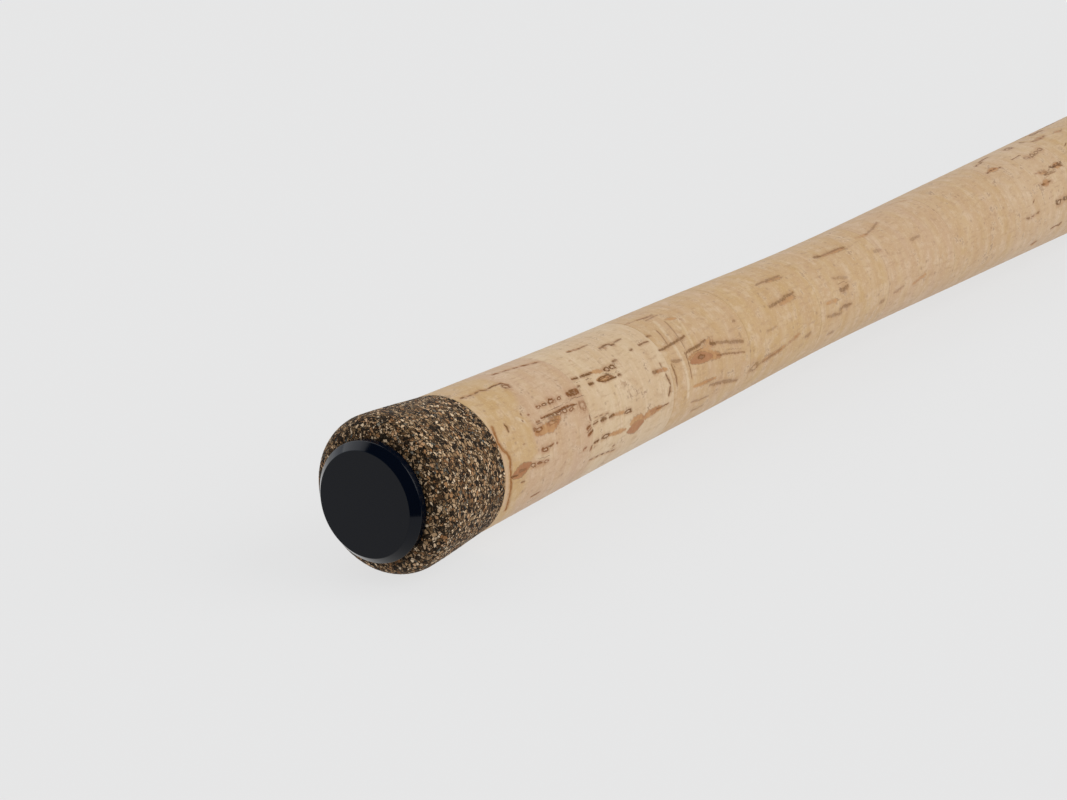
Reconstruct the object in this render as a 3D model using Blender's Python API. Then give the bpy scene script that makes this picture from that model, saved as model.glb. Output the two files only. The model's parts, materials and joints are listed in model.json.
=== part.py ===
"""Boat rod in two sections, with a turned cork handle, a screw reel seat and ring guides.

The rod lies along +X, from the flat face of the butt cap at the origin to the tip ring.
The reel and the guides face -Y. "Rear" is the butt's side of a piece and "front" is the tip's.
All sizes are in metres.
"""

import math
from dataclasses import dataclass

import bmesh
import bpy
from mathutils import Vector

# Clearance left between pieces that touch, and round what slides or is glued
GAP = 0.0003

# Blank: two tapered tubes
BLANK_JOINT_RADIUS = 0.0048
BLANK_TIP_RADIUS = 0.0012
BLANK_WALL = 0.0014
TIP_BLANK_WALL = 0.0007
ROD_LENGTH = 1.800
FERRULE_SETBACK = 0.030

# Butt cap: a turned disc with a chamfer and a spigot inside the blank
CAP_FACE_RADIUS = 0.00955
CAP_FLANGE_RADIUS = 0.01087
CAP_CHAMFER_DEPTH = 0.00152
CAP_FLANGE_DEPTH = 0.00295
CAP_SPIGOT_LENGTH = 0.0140

# Burl ring at the butt, turned down to just proud of the cap's rim
BURL_LENGTH = 0.0194
BURL_EDGE_STEP = 0.0001
BURL_SHOULDER_RADIUS = 0.01435
BURL_SHOULDER_DEPTH = 0.0038

# Rear grip: cork rings turned to one outline, as (distance from its rear end, radius)
CORK_RING_LENGTH = 0.0277
REAR_RING_COUNT = 11
REAR_OUTLINE = (
    (0.000, 0.01305),
    (0.042, 0.01204),
    (0.076, 0.01155),
    (0.126, 0.01072),
    (0.185, 0.01146),
    (0.308, 0.01340),
)

# Reel seat
SEAT_LENGTH = 0.1300
SEAT_RADIUS = 0.0105
SEAT_WALL = 0.0018
ARBOR_WALL = 0.0017
HOOD_WALL = 0.0013
HOOD_LENGTH = 0.0220
HOOD_SLEEVE_LENGTH = 0.0022
HOOD_END_WALL = 0.0033
HOOD_NARROWING = 0.3
HOOD_COLLAR_LENGTH = 0.0050
HOOD_COLLAR_WALL = 0.00065
FOOT_HEIGHT = 0.0050
FOOT_HALF_WIDTH = 0.0065
FOOT_CORNER = 0.0016
SADDLE_LENGTH = 0.0340
SADDLE_DEPTH = 0.0010
SADDLE_SETBACK = 0.0020
SLIDING_HOOD_SETBACK = 0.0480
KEYWAY_WIDTH = 0.0020
KEYWAY_DEPTH = 0.0010
KEY_LENGTH = 0.0120
NUT_WALL = 0.0033
NUT_LENGTH = 0.0130
NUT_COLLAR_ROOM = 0.0004
NUT_FLUTES = 8
NUT_FLUTE_DEPTH = 0.0009
NUT_CHAMFER = 0.0006

# Foregrip: cork rings and a burl ring, as (distance from its rear end, radius)
FORE_RING_COUNT = 4
FORE_OUTLINE = (
    (0.000, 0.01290),
    (0.034, 0.01235),
    (0.076, 0.01285),
    (0.112, 0.01410),
)
NOSE_LENGTH = 0.0200
NOSE_SHOULDER_AT = 0.0045
NOSE_EDGE_RADIUS = 0.0092
CHECK_LENGTH = 0.0070
CHECK_REAR_RADIUS = 0.0086
CHECK_RIM_LENGTH = 0.0018
CHECK_WAIST_AT = 0.0046
CHECK_WAIST_WALL = 0.0013
CHECK_WALL = 0.0008

# Hook keeper: a wire bow on the side away from the guides
KEEPER_SETBACK = 0.0260
KEEPER_WIRE_RADIUS = 0.0006
KEEPER_RISE = 0.0062
KEEPER_HALF_SPAN = 0.0042
KEEPER_BEND_RADIUS = 0.0015
KEEPER_FOOT_LENGTH = 0.0080

# Ferrule: a socket on the butt section and a plug on the tip section
SOCKET_GRIP_LENGTH = 0.0300
SOCKET_TAPER_LENGTH = 0.0120
SOCKET_DEPTH = 0.0450
SOCKET_WALL = 0.0010
SOCKET_EDGE_WALL = 0.0005
WELT_LENGTH = 0.0040
WELT_HEIGHT = 0.0009
PLUG_RADIUS = 0.0047
PLUG_END_ROOM = 0.0030
PLUG_CHAMFER = 0.0005
PLUG_COLLAR_LENGTH = 0.0030
PLUG_SLEEVE_LENGTH = 0.0280

# Thread wraps
WRAP_WALL = 0.0006
WRAP_LEAD = 0.0040
WRAP_END_WALL = 0.0002
WRAP_RAMP = 0.0012
PLAIN_WRAP_LENGTH = 0.0080
WRAP_CORNER = 0.0005

# Guides: one on the butt section, as a share of its bare blank, and the others on the tip section,
# where their spacing grows from the tip towards the ferrule
BUTT_GUIDE_SHARE = 0.6241
TIP_GUIDE_SETBACK = 0.0577
SPACING_GROWTH = 1.18
LEG_ANGLE = math.radians(52)

# Shares of a guide's bar or wall that shape its feet, legs and ring
FOOT_TIP_SHARE = 0.30
FOOT_FULL_SHARE = 0.40
FOOT_WIDTH_SHARE = 1.5
FOOT_THICKNESS_SHARE = 0.6
PAIRED_LEG_SHARE = 0.8
SINGLE_LEG_SHARE = 1.1
LEG_OVERLAP_SHARE = 0.3
LEG_THICKNESS_SHARE = 0.75
LEG_TOP_SHARE = 0.8
LEG_LANDING_SHARE = 0.8
LEG_BEND_ALONG = 0.5
LEG_BEND_DROP = 0.8
LEG_BEND_SPREAD = 0.35
FOOT_HEEL_SHARE = 0.8
FOOT_TOE_SHARE = 0.6
RING_EDGE_SHARE = 0.6
HOOP_EDGE_SHARE = 0.3

# Tip ring
TIP_TUBE_LENGTH = 0.0120
TIP_TUBE_WALL = 0.0006
TIP_HOOP_RADIUS = 0.0056
TIP_HOOP_WALL = 0.0006
TIP_RING_WALL = 0.0009
TIP_HOOP_LENGTH = 0.0014
TIP_BAR = 0.0011
TIP_BRACE_SETBACK = 0.0085

# Facets round each kind of piece, and steps along a guide's leg
GRIP_SIDES = 24
BLANK_SIDES = 16
RING_SIDES = 16
HOOD_ARC_STEPS = 15
HOOD_DOME_STEPS = 5
HOOD_POCKET_STEPS = 3
WRAP_ARC_STEPS = 9
BEFORE_CORNER_SHARE = 0.8
BAR_SIDES = 6
LEG_STEPS = 4
SHOULDER_STEPS = 4


@dataclass(frozen=True)
class Guide:
    """One line guide. Its rise is from the blank's surface to the hoop's underside."""

    name: str
    hoop_radius: float
    hoop_wall: float
    hoop_length: float
    ring_wall: float
    rise: float
    reach: float
    foot_length: float
    bar: float
    two_feet: bool


# From the reel to the tip
GUIDES = (
    Guide("guide_1", 0.0139, 0.0010, 0.0022, 0.0019, 0.0080, 0.0150, 0.0150, 0.0019, True),
    Guide("guide_2", 0.0106, 0.0009, 0.0020, 0.0016, 0.0065, 0.0125, 0.0130, 0.0017, True),
    Guide("guide_3", 0.0082, 0.0008, 0.0018, 0.0013, 0.0055, 0.0105, 0.0110, 0.0015, True),
    Guide("guide_4", 0.0070, 0.0007, 0.0016, 0.0011, 0.0050, 0.0092, 0.0100, 0.0013, False),
    Guide("guide_5", 0.0063, 0.0006, 0.0015, 0.0010, 0.0045, 0.0084, 0.0090, 0.0012, False),
    Guide("guide_6", 0.0058, 0.0006, 0.0014, 0.0009, 0.0040, 0.0076, 0.0085, 0.0011, False),
)

# Sizes that follow from the sizes above
BLANK_BUTT_RADIUS = SEAT_RADIUS - SEAT_WALL - ARBOR_WALL
HOOD_DOME_LENGTH = HOOD_LENGTH - HOOD_SLEEVE_LENGTH
HOOD_POCKET_LENGTH = HOOD_DOME_LENGTH - HOOD_END_WALL
NUT_RADIUS = SEAT_RADIUS + NUT_WALL
PLUG_LENGTH = SOCKET_DEPTH - PLUG_END_ROOM

# Stations along the rod that follow from the sizes above
BURL_START = CAP_FLANGE_DEPTH + GAP
REAR_GRIP_START = BURL_START + BURL_LENGTH + GAP
RING_PITCH = CORK_RING_LENGTH + GAP
SEAT_START = REAR_GRIP_START + REAR_RING_COUNT * RING_PITCH
SEAT_END = SEAT_START + SEAT_LENGTH
FORE_GRIP_START = SEAT_END + GAP
NOSE_START = FORE_GRIP_START + FORE_RING_COUNT * RING_PITCH
CHECK_START = NOSE_START + NOSE_LENGTH + GAP
CHECK_END = CHECK_START + CHECK_LENGTH
KEEPER_AT = CHECK_END + KEEPER_SETBACK
KEEPER_WRAP_END = KEEPER_AT + KEEPER_HALF_SPAN + KEEPER_FOOT_LENGTH + WRAP_LEAD
BUTT_BLANK_END = ROD_LENGTH / 2 - FERRULE_SETBACK
SOCKET_START = BUTT_BLANK_END - SOCKET_GRIP_LENGTH
SOCKET_WRAP_START = SOCKET_START - GAP - PLAIN_WRAP_LENGTH
SOCKET_END = BUTT_BLANK_END + SOCKET_DEPTH
PLUG_COLLAR_START = SOCKET_END + GAP
PLUG_SLEEVE_END = PLUG_COLLAR_START + PLUG_COLLAR_LENGTH + PLUG_SLEEVE_LENGTH
PLUG_WRAP_START = PLUG_SLEEVE_END + GAP
TIP_BLANK_START = PLUG_COLLAR_START + PLUG_COLLAR_LENGTH + GAP
TIP_HOOP_AT = ROD_LENGTH - TIP_HOOP_LENGTH / 2
TIP_TUBE_END = ROD_LENGTH - TIP_HOOP_LENGTH / 3


def blank_radius(x):
    """Outside radius of the blank at a station, one straight taper on each section."""
    if x <= SOCKET_END:
        share = x / BUTT_BLANK_END
        return BLANK_BUTT_RADIUS + (BLANK_JOINT_RADIUS - BLANK_BUTT_RADIUS) * share
    share = (x - TIP_BLANK_START) / (ROD_LENGTH - TIP_BLANK_START)
    return BLANK_JOINT_RADIUS + (BLANK_TIP_RADIUS - BLANK_JOINT_RADIUS) * share


def bore_radius(x):
    """Bore that fits round the blank at a station."""
    return blank_radius(x) + GAP


def smooth_through(stations, x):
    """Height at x of a smooth curve through (x, height) stations: a cubic between each two."""
    count = len(stations)
    i = max(0, min(count - 2, sum(1 for s in stations if s[0] <= x) - 1))
    slopes = []
    for k in (i, i + 1):
        before = stations[max(k - 1, 0)]
        after = stations[min(k + 1, count - 1)]
        slopes.append((after[1] - before[1]) / (after[0] - before[0]))
    (x0, y0), (x1, y1) = stations[i], stations[i + 1]
    span = x1 - x0
    t = (x - x0) / span
    rise = y1 - y0
    bend_in = slopes[0] * span - rise
    bend_out = rise - slopes[1] * span
    return y0 + rise * t + t * (1 - t) * (bend_in * (1 - t) + bend_out * t)


def circle(x, radius, sides, rise=0.0):
    """Loop of points square to the rod, with a flat facet below. Rise is towards the guides' side."""
    step = math.tau / sides
    angles = [(i + 0.5) * step for i in range(sides)]
    return [Vector((x, -rise - radius * math.cos(a), radius * math.sin(a))) for a in angles]


def taut_angles(radius, top, half_width, arc_steps):
    """Polar angles shared by a family of taut loops: close over the foot, even round the tube."""
    edge = math.atan2(half_width, top)
    turn = edge + math.acos(min(1.0, radius / math.hypot(top, half_width)))
    step = (math.tau - 2 * turn) / arc_steps
    side_steps = math.ceil((turn - edge) / step)
    before_corner = BEFORE_CORNER_SHARE * edge
    near = [before_corner] + [edge + (turn - edge) * i / side_steps for i in range(side_steps)]
    arc = [turn + step * i for i in range(arc_steps + 1)]
    return [0.0] + near + arc + [math.tau - angle for angle in reversed(near)]


def taut_loop(x, radius, foot, corner, angles, facing=-1):
    """Loop pulled tight round a tube and a flat foot that lies on one side of it.

    A foot is (top, half width), or None for the bare tube. The loop is the outline of the smallest
    convex shape that holds the tube and the foot's two rounded corners: at each polar angle it is as
    far out as the nearest of the straight lines that touch that shape. The tube is taken as a little
    larger, so that the loop's facets touch it from outside.
    """
    widest = max(after - before for before, after in zip(angles, angles[1:]))
    radius /= math.cos(widest / 2)

    def support(normal):
        if foot is None:
            return radius
        top, half_width = foot
        reach = (top - corner) * math.cos(normal) + (half_width - corner) * abs(math.sin(normal))
        return max(radius, reach + corner)

    leans = [math.radians(degrees) for degrees in range(-80, 81, 2)]
    loop = []
    for angle in angles:
        out = min(support(angle + lean) / math.cos(lean) for lean in leans)
        loop.append(Vector((x, facing * out * math.cos(angle), out * math.sin(angle))))
    return loop


def skin(loops, hollow):
    """Closed mesh over loops of equal count. A hollow one runs on from the last loop to the first."""
    bm = bmesh.new()
    rows = [[bm.verts.new(point) for point in loop] for loop in loops]
    following = rows[1:] + rows[:1] if hollow else rows[1:]
    for near, far in zip(rows, following):
        for i in range(len(near)):
            j = (i + 1) % len(near)
            bm.faces.new((near[i], near[j], far[j], far[i]))
    if not hollow:
        bm.faces.new(rows[0])
        bm.faces.new(rows[-1])
    bmesh.ops.remove_doubles(bm, verts=bm.verts, dist=1e-6)
    bmesh.ops.recalc_face_normals(bm, faces=bm.faces)
    mesh = bpy.data.meshes.new("skin")
    bm.to_mesh(mesh)
    bm.free()
    return mesh


def turned(outline, sides, bore=None, rise=0.0):
    """Turned mesh from (x, radius) points, rear to front, with an optional bore given the same way."""
    loops = [circle(x, radius, sides, rise) for x, radius in outline]
    if bore:
        loops += [circle(x, radius, sides, rise) for x, radius in reversed(bore)]
    return skin(loops, hollow=bool(bore))


def arc_between(x0, r0, x1, r1, steps):
    """Outline points of a quarter ellipse that starts square to the rod and ends along it."""
    points = []
    for i in range(steps + 1):
        angle = math.pi / 2 * i / steps
        points.append((x1 + (x0 - x1) * math.cos(angle), r0 + (r1 - r0) * math.sin(angle)))
    return points


def bar(stations):
    """Swept bar of six sides from (point, across, width, thickness) stations."""
    loops = []
    for i, (point, across, width, thickness) in enumerate(stations):
        ahead = stations[min(i + 1, len(stations) - 1)][0]
        behind = stations[max(i - 1, 0)][0]
        along = (ahead - behind).normalized()
        side = (across - across.dot(along) * along).normalized()
        face = along.cross(side)
        loop = []
        for k in range(BAR_SIDES):
            angle = math.tau * k / BAR_SIDES
            loop.append(
                point
                + side * (width / 2 * math.cos(angle))
                + face * (thickness / 2 * math.sin(angle) / math.sin(math.pi / 3))
            )
        loops.append(loop)
    return skin(loops, hollow=False)


def bent(start, control, end, steps):
    """Points of a quadratic curve that leaves start and reaches end along its control point."""
    shares = [i / steps for i in range(steps + 1)]
    return [start * (1 - t) ** 2 + control * (2 * t * (1 - t)) + end * t**2 for t in shares]


def block(low, high):
    """Rectangular mesh between two corners."""
    corners = ((low.y, low.z), (high.y, low.z), (high.y, high.z), (low.y, high.z))
    loops = [[Vector((x, y, z)) for y, z in corners] for x in (low.x, high.x)]
    return skin(loops, hollow=False)


def combined(mesh, others, operation):
    """Mesh with others joined to it or cut from it by an exact Boolean."""
    host = bpy.data.objects.new("host", mesh)
    bpy.context.scene.collection.objects.link(host)
    tools = []
    for other in others:
        tool = bpy.data.objects.new("tool", other)
        bpy.context.scene.collection.objects.link(tool)
        step = host.modifiers.new("step", "BOOLEAN")
        step.operation = operation
        step.solver = "EXACT"
        step.object = tool
        tools.append(tool)
    depsgraph = bpy.context.evaluated_depsgraph_get()
    result = bpy.data.meshes.new_from_object(host.evaluated_get(depsgraph))
    for used in [host] + tools:
        bpy.data.objects.remove(used)
    return result


def finish(name, colour, roughness, metallic):
    """Material with one Principled shader."""
    material = bpy.data.materials.new(name)
    material.use_nodes = True
    shader = material.node_tree.nodes["Principled BSDF"]
    shader.inputs["Base Color"].default_value = (*colour, 1.0)
    shader.inputs["Roughness"].default_value = roughness
    shader.inputs["Metallic"].default_value = metallic
    return material


def carrier(name, at, parent=None):
    """Empty that carries the pieces of one moving group."""
    empty = bpy.data.objects.new(name, None)
    bpy.context.scene.collection.objects.link(empty)
    empty.parent = parent
    origin = parent.matrix_world.translation if parent else Vector()
    empty.location = Vector((at, 0, 0)) - origin
    bpy.context.view_layer.update()
    return empty


def place(name, mesh, material, at, group):
    """Object for one piece, whose mesh starts at its own origin, at a station along the rod."""
    mesh.name = name
    mesh.materials.clear()
    mesh.materials.append(material)
    mesh.shade_smooth()
    mesh.set_sharp_from_angle(angle=math.radians(32))
    piece = bpy.data.objects.new(name, mesh)
    bpy.context.scene.collection.objects.link(piece)
    piece.parent = group
    piece.location = Vector((at, 0, 0)) - group.matrix_world.translation
    return piece


def cap_mesh():
    """Butt cap: flat face, chamfer, short rim, and a spigot that enters the blank."""
    spigot = BLANK_BUTT_RADIUS - BLANK_WALL - GAP
    end = CAP_FLANGE_DEPTH + CAP_SPIGOT_LENGTH
    outline = (
        (0.0, CAP_FACE_RADIUS),
        (CAP_CHAMFER_DEPTH, CAP_FLANGE_RADIUS),
        (CAP_FLANGE_DEPTH, CAP_FLANGE_RADIUS),
        (CAP_FLANGE_DEPTH, spigot),
        (end, spigot),
    )
    return turned(outline, GRIP_SIDES)


def burl_mesh():
    """Burl ring: rounded shoulder behind the cap, then a straight taper to the cork."""
    edge = CAP_FLANGE_RADIUS + BURL_EDGE_STEP
    outline = arc_between(0.0, edge, BURL_SHOULDER_DEPTH, BURL_SHOULDER_RADIUS, SHOULDER_STEPS)
    outline.append((BURL_LENGTH, REAR_OUTLINE[0][1]))
    bore = ((0.0, bore_radius(BURL_START)), (BURL_LENGTH, bore_radius(BURL_START)))
    return turned(outline, GRIP_SIDES, bore)


def cork_mesh(start, grip_start, stations):
    """Cork ring that starts at a station of a grip, turned to the grip's outline."""
    outline, bore = [], []
    for x in (0.0, CORK_RING_LENGTH):
        outline.append((x, smooth_through(stations, start + x - grip_start)))
        bore.append((x, bore_radius(start + x)))
    return turned(outline, GRIP_SIDES, bore)


def nose_mesh():
    """Burl ring at the front of the foregrip, rounded down to the winding check."""
    crown = BURL_SHOULDER_RADIUS
    outline = [(0.0, FORE_OUTLINE[-1][1]), (NOSE_SHOULDER_AT, crown)]
    drop = arc_between(NOSE_LENGTH, NOSE_EDGE_RADIUS, NOSE_SHOULDER_AT, crown, SHOULDER_STEPS)
    outline += list(reversed(drop))[1:]
    bore = [(x, bore_radius(NOSE_START + x)) for x in (0.0, NOSE_LENGTH)]
    return turned(outline, GRIP_SIDES, bore)


def check_mesh():
    """Winding check: a thin turned cone that closes the foregrip's end."""
    front = bore_radius(CHECK_END)
    rear = bore_radius(CHECK_START)
    outline = (
        (0.0, CHECK_REAR_RADIUS),
        (CHECK_RIM_LENGTH, CHECK_REAR_RADIUS),
        (CHECK_WAIST_AT, rear + CHECK_WAIST_WALL),
        (CHECK_LENGTH, front + CHECK_WALL),
    )
    return turned(outline, BLANK_SIDES, ((0.0, rear), (CHECK_LENGTH, front)))


def tube_mesh(start, end, wall_rear, wall_front):
    """Tapered tube of the blank between two stations."""
    length = end - start
    outline = [(x, blank_radius(start + x)) for x in (0.0, length)]
    bore = ((0.0, outline[0][1] - wall_rear), (length, outline[-1][1] - wall_front))
    return turned(outline, BLANK_SIDES, bore)


def arbor_mesh():
    """Bush that fills the space between the blank and the reel seat's tube."""
    outer = SEAT_RADIUS - SEAT_WALL - GAP
    bore = [(x, bore_radius(SEAT_START + x)) for x in (0.0, SEAT_LENGTH)]
    return turned(((0.0, outer), (SEAT_LENGTH, outer)), GRIP_SIDES, bore)


def seat_mesh():
    """Seat tube with the flat that the reel's foot rests on, and a keyway along the far side."""
    inner = SEAT_RADIUS - SEAT_WALL
    tube = turned(
        ((0.0, SEAT_RADIUS), (SEAT_LENGTH, SEAT_RADIUS)),
        GRIP_SIDES,
        ((0.0, inner), (SEAT_LENGTH, inner)),
    )
    saddle_start = HOOD_LENGTH + SADDLE_SETBACK
    flat = SEAT_RADIUS * math.cos(math.pi / GRIP_SIDES) - SADDLE_DEPTH
    saddle = block(
        Vector((saddle_start, -2 * SEAT_RADIUS, -SEAT_RADIUS)),
        Vector((saddle_start + SADDLE_LENGTH, -flat, SEAT_RADIUS)),
    )
    keyway = block(
        Vector((saddle_start, SEAT_RADIUS - KEYWAY_DEPTH, -KEYWAY_WIDTH / 2)),
        Vector((2 * SEAT_LENGTH, 2 * SEAT_RADIUS, KEYWAY_WIDTH / 2)),
    )
    return combined(tube, [saddle, keyway], "DIFFERENCE")


def hood_loops(radius, half_width, corner, dome_length, steps, angles):
    """Loops of a hood's bulge, from its mouth to where it has sunk into the sleeve."""
    loops = []
    for i in range(steps + 1):
        share = i / steps
        top = radius + FOOT_HEIGHT * math.cos(math.pi / 2 * share)
        width = half_width * (1 - HOOD_NARROWING * share**2)
        foot = (top, width) if i < steps else None
        loops.append(taut_loop(dome_length * share, radius, foot, corner, angles))
    return loops


def hood_mesh(forward, collar):
    """Hood that clamps one end of the reel's foot. Its mouth is at x = 0 and opens along -X.

    A forward hood is turned round so that its mouth opens along +X. A collar is the narrow end that
    the lock nut turns on.
    """
    bore = SEAT_RADIUS + GAP
    sleeve = bore + HOOD_WALL
    width, corner = FOOT_HALF_WIDTH + HOOD_WALL, FOOT_CORNER + HOOD_WALL
    angles = taut_angles(sleeve, sleeve + FOOT_HEIGHT, width, HOOD_ARC_STEPS)
    outer = hood_loops(sleeve, width, corner, HOOD_DOME_LENGTH, HOOD_DOME_STEPS, angles)
    inner = hood_loops(bore, FOOT_HALF_WIDTH, FOOT_CORNER, HOOD_POCKET_LENGTH, HOOD_POCKET_STEPS, angles)
    end = HOOD_LENGTH
    outer.append(taut_loop(end, sleeve, None, corner, angles))
    if collar:
        neck = bore + HOOD_COLLAR_WALL
        outer.append(taut_loop(end, neck, None, corner, angles))
        end += HOOD_COLLAR_LENGTH
        outer.append(taut_loop(end, neck, None, corner, angles))
    inner.append(taut_loop(end, bore, None, corner, angles))
    loops = outer + list(reversed(inner))
    if forward:
        for loop in loops:
            for point in loop:
                point.x = HOOD_LENGTH - point.x
    return skin(loops, hollow=True)


def sliding_hood_mesh():
    """Sliding hood with the key that keeps it from turning on the seat."""
    bore = SEAT_RADIUS + GAP
    key = block(
        Vector((HOOD_LENGTH - KEY_LENGTH, SEAT_RADIUS - KEYWAY_DEPTH + GAP, GAP - KEYWAY_WIDTH / 2)),
        Vector((HOOD_LENGTH - GAP, bore + HOOD_WALL / 2, KEYWAY_WIDTH / 2 - GAP)),
    )
    return combined(hood_mesh(forward=False, collar=True), [key], "UNION")


def nut_mesh():
    """Lock nut: a fluted ring with a skirt over the sliding hood's collar."""
    per_flute = 4
    samples = per_flute * NUT_FLUTES
    bore = (SEAT_RADIUS + GAP) / math.cos(math.pi / samples)
    skirt = bore + HOOD_COLLAR_WALL + 2 * GAP
    shoulder = HOOD_COLLAR_LENGTH - GAP + NUT_COLLAR_ROOM

    def fluted(x, radius, depth):
        points = circle(x, radius, samples)
        for i, point in enumerate(points):
            if i % per_flute >= per_flute / 2:
                point.y *= 1 - depth / radius
                point.z *= 1 - depth / radius
        return points

    end = NUT_LENGTH
    loops = [
        fluted(0.0, NUT_RADIUS - NUT_CHAMFER, NUT_FLUTE_DEPTH / 2),
        fluted(NUT_CHAMFER, NUT_RADIUS, NUT_FLUTE_DEPTH),
        fluted(end - NUT_CHAMFER, NUT_RADIUS, NUT_FLUTE_DEPTH),
        fluted(end, NUT_RADIUS - NUT_CHAMFER, NUT_FLUTE_DEPTH / 2),
        circle(end, bore, samples),
        circle(shoulder, bore, samples),
        circle(shoulder, skirt, samples),
        circle(0.0, skirt, samples),
    ]
    return skin(loops, hollow=True)


def socket_mesh():
    """Ferrule socket: grips the end of the butt blank, and takes the plug from the front."""
    grip = bore_radius(SOCKET_START)
    mouth = PLUG_RADIUS + GAP
    step = SOCKET_GRIP_LENGTH + GAP
    end = SOCKET_GRIP_LENGTH + SOCKET_DEPTH
    outer = max(grip, mouth) + SOCKET_WALL
    outline = (
        (0.0, grip + SOCKET_EDGE_WALL),
        (SOCKET_TAPER_LENGTH, outer),
        (end - WELT_LENGTH, outer),
        (end - WELT_LENGTH, outer + WELT_HEIGHT),
        (end, outer + WELT_HEIGHT),
    )
    bore = ((0.0, grip), (step, grip), (step, mouth), (end, mouth))
    return turned(outline, BLANK_SIDES, bore)


def plug_mesh():
    """Ferrule plug: a solid plug, a collar that meets the socket, and a sleeve on the tip blank."""
    rear = -PLUG_LENGTH
    collar = max(bore_radius(SOCKET_START), PLUG_RADIUS + GAP) + SOCKET_WALL
    sleeve = bore_radius(TIP_BLANK_START)
    end = PLUG_COLLAR_LENGTH + PLUG_SLEEVE_LENGTH
    floor = PLUG_COLLAR_LENGTH
    loops = [
        circle(rear, PLUG_RADIUS - PLUG_CHAMFER, BLANK_SIDES),
        circle(rear + PLUG_CHAMFER, PLUG_RADIUS, BLANK_SIDES),
        circle(0.0, PLUG_RADIUS, BLANK_SIDES),
        circle(0.0, collar, BLANK_SIDES),
        circle(PLUG_COLLAR_LENGTH, collar, BLANK_SIDES),
        circle(PLUG_COLLAR_LENGTH, sleeve + SOCKET_WALL, BLANK_SIDES),
        circle(end, sleeve + SOCKET_EDGE_WALL, BLANK_SIDES),
        circle(end, sleeve, BLANK_SIDES),
        circle(floor, sleeve, BLANK_SIDES),
    ]
    return skin(loops, hollow=False)


def plain_wrap_mesh(start):
    """Thread wrap on the bare blank, thinned at both ends."""
    length = PLAIN_WRAP_LENGTH
    bore = [(x, bore_radius(start + x)) for x in (0.0, length)]
    outline = (
        (0.0, bore[0][1] + WRAP_END_WALL),
        (WRAP_RAMP, bore[0][1] + WRAP_WALL),
        (length - WRAP_RAMP, bore[1][1] + WRAP_WALL),
        (length, bore[1][1] + WRAP_END_WALL),
    )
    return turned(outline, BLANK_SIDES, bore)


def foot_wrap_mesh(start, foot_length, half_width, foot_base, thickness, to_front, facing=-1):
    """Thread wrap pulled tight over a blank and a foot.

    Local x runs from the edge beside the leg, at the station start, out past the foot's tip. The
    foot's tip is thinner, so the wrap comes down with it and ends on the bare blank.
    """
    sign = 1 if to_front else -1
    reach = foot_length + WRAP_LEAD
    tip = thickness * FOOT_TIP_SHARE
    inner_shape = (
        (0.0, thickness),
        (foot_length * FOOT_FULL_SHARE, thickness),
        (foot_length + GAP, tip),
        (reach, None),
    )
    outer_shape = (
        (0.0, thickness, WRAP_END_WALL),
        (foot_length * FOOT_FULL_SHARE, thickness, WRAP_WALL),
        (foot_length + GAP, tip, WRAP_WALL),
        (reach - WRAP_RAMP, None, WRAP_WALL),
        (reach, None, WRAP_END_WALL),
    )

    top = foot_base + thickness + GAP
    angles = taut_angles(bore_radius(start), top, half_width + GAP, WRAP_ARC_STEPS)

    def loop(x, height, wall):
        tube = bore_radius(start + sign * x) + wall
        foot = None if height is None else (foot_base + height + GAP + wall, half_width + GAP + wall)
        return taut_loop(sign * x, tube, foot, WRAP_CORNER + wall, angles, facing)

    loops = [loop(x, height, wall) for x, height, wall in outer_shape]
    loops += [loop(x, height, 0.0) for x, height in reversed(inner_shape)]
    return skin(loops, hollow=True)


def foot_size(bar_width):
    """Width and thickness of a guide's foot for its bar."""
    return FOOT_WIDTH_SHARE * bar_width, FOOT_THICKNESS_SHARE * bar_width


def foot_base_radius(station, reach, foot_length):
    """Height of a guide's feet over the rod's axis, clear of the blank's thickest part below them."""
    return bore_radius(station - reach - foot_length)


def hoop_centre(guide, station):
    """Height of a guide's hoop over the rod's axis."""
    return blank_radius(station) + guide.rise + guide.hoop_radius


def hoop_mesh(radius, wall, length, rise):
    """Metal hoop that holds a guide's ring, with its corners broken."""
    half, edge = length / 2, wall * HOOP_EDGE_SHARE
    outline = ((-half, radius - edge), (-half + edge, radius), (half - edge, radius), (half, radius - edge))
    bore = ((-half, radius - wall), (half, radius - wall))
    return turned(outline, RING_SIDES, bore, rise)


def ring_mesh(radius, wall, length, rise):
    """Hard ring inside a hoop, crowned where the line runs."""
    half, edge = length / 2, radius - wall * RING_EDGE_SHARE
    outline = ((-half, radius), (half, radius))
    bore = ((-half, edge), (0.0, radius - wall), (half, edge))
    return turned(outline, RING_SIDES, bore, rise)


def leg_mesh(angle, rise, hoop_radius, wall, foot_point, foot_width, width, thickness):
    """Bent leg from a hoop's flank, at an angle from its underside, down to a foot.

    It starts inside the hoop's wall, drops steeply, and runs in along the blank to the foot.
    """
    on_hoop = hoop_radius - wall / 2
    start = Vector((0.0, -(rise - on_hoop * math.cos(angle)), on_hoop * math.sin(angle)))
    tangent = Vector((0.0, -math.sin(angle), math.cos(angle)))
    level = Vector((0.0, 0.0, 1.0))
    control = start.lerp(foot_point, LEG_BEND_ALONG)
    control.y = start.y + (foot_point.y - start.y) * LEG_BEND_DROP
    control.z = start.z * LEG_BEND_SPREAD
    points = bent(start, control, foot_point, LEG_STEPS)
    thin = wall * LEG_THICKNESS_SHARE
    stations = []
    for i, point in enumerate(points):
        share = i / (len(points) - 1)
        across = tangent.lerp(level, share)
        thick = thin + (thickness - thin) * share
        stations.append((point, across, width + (foot_width - width) * share, thick))
    return bar(stations)


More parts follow.
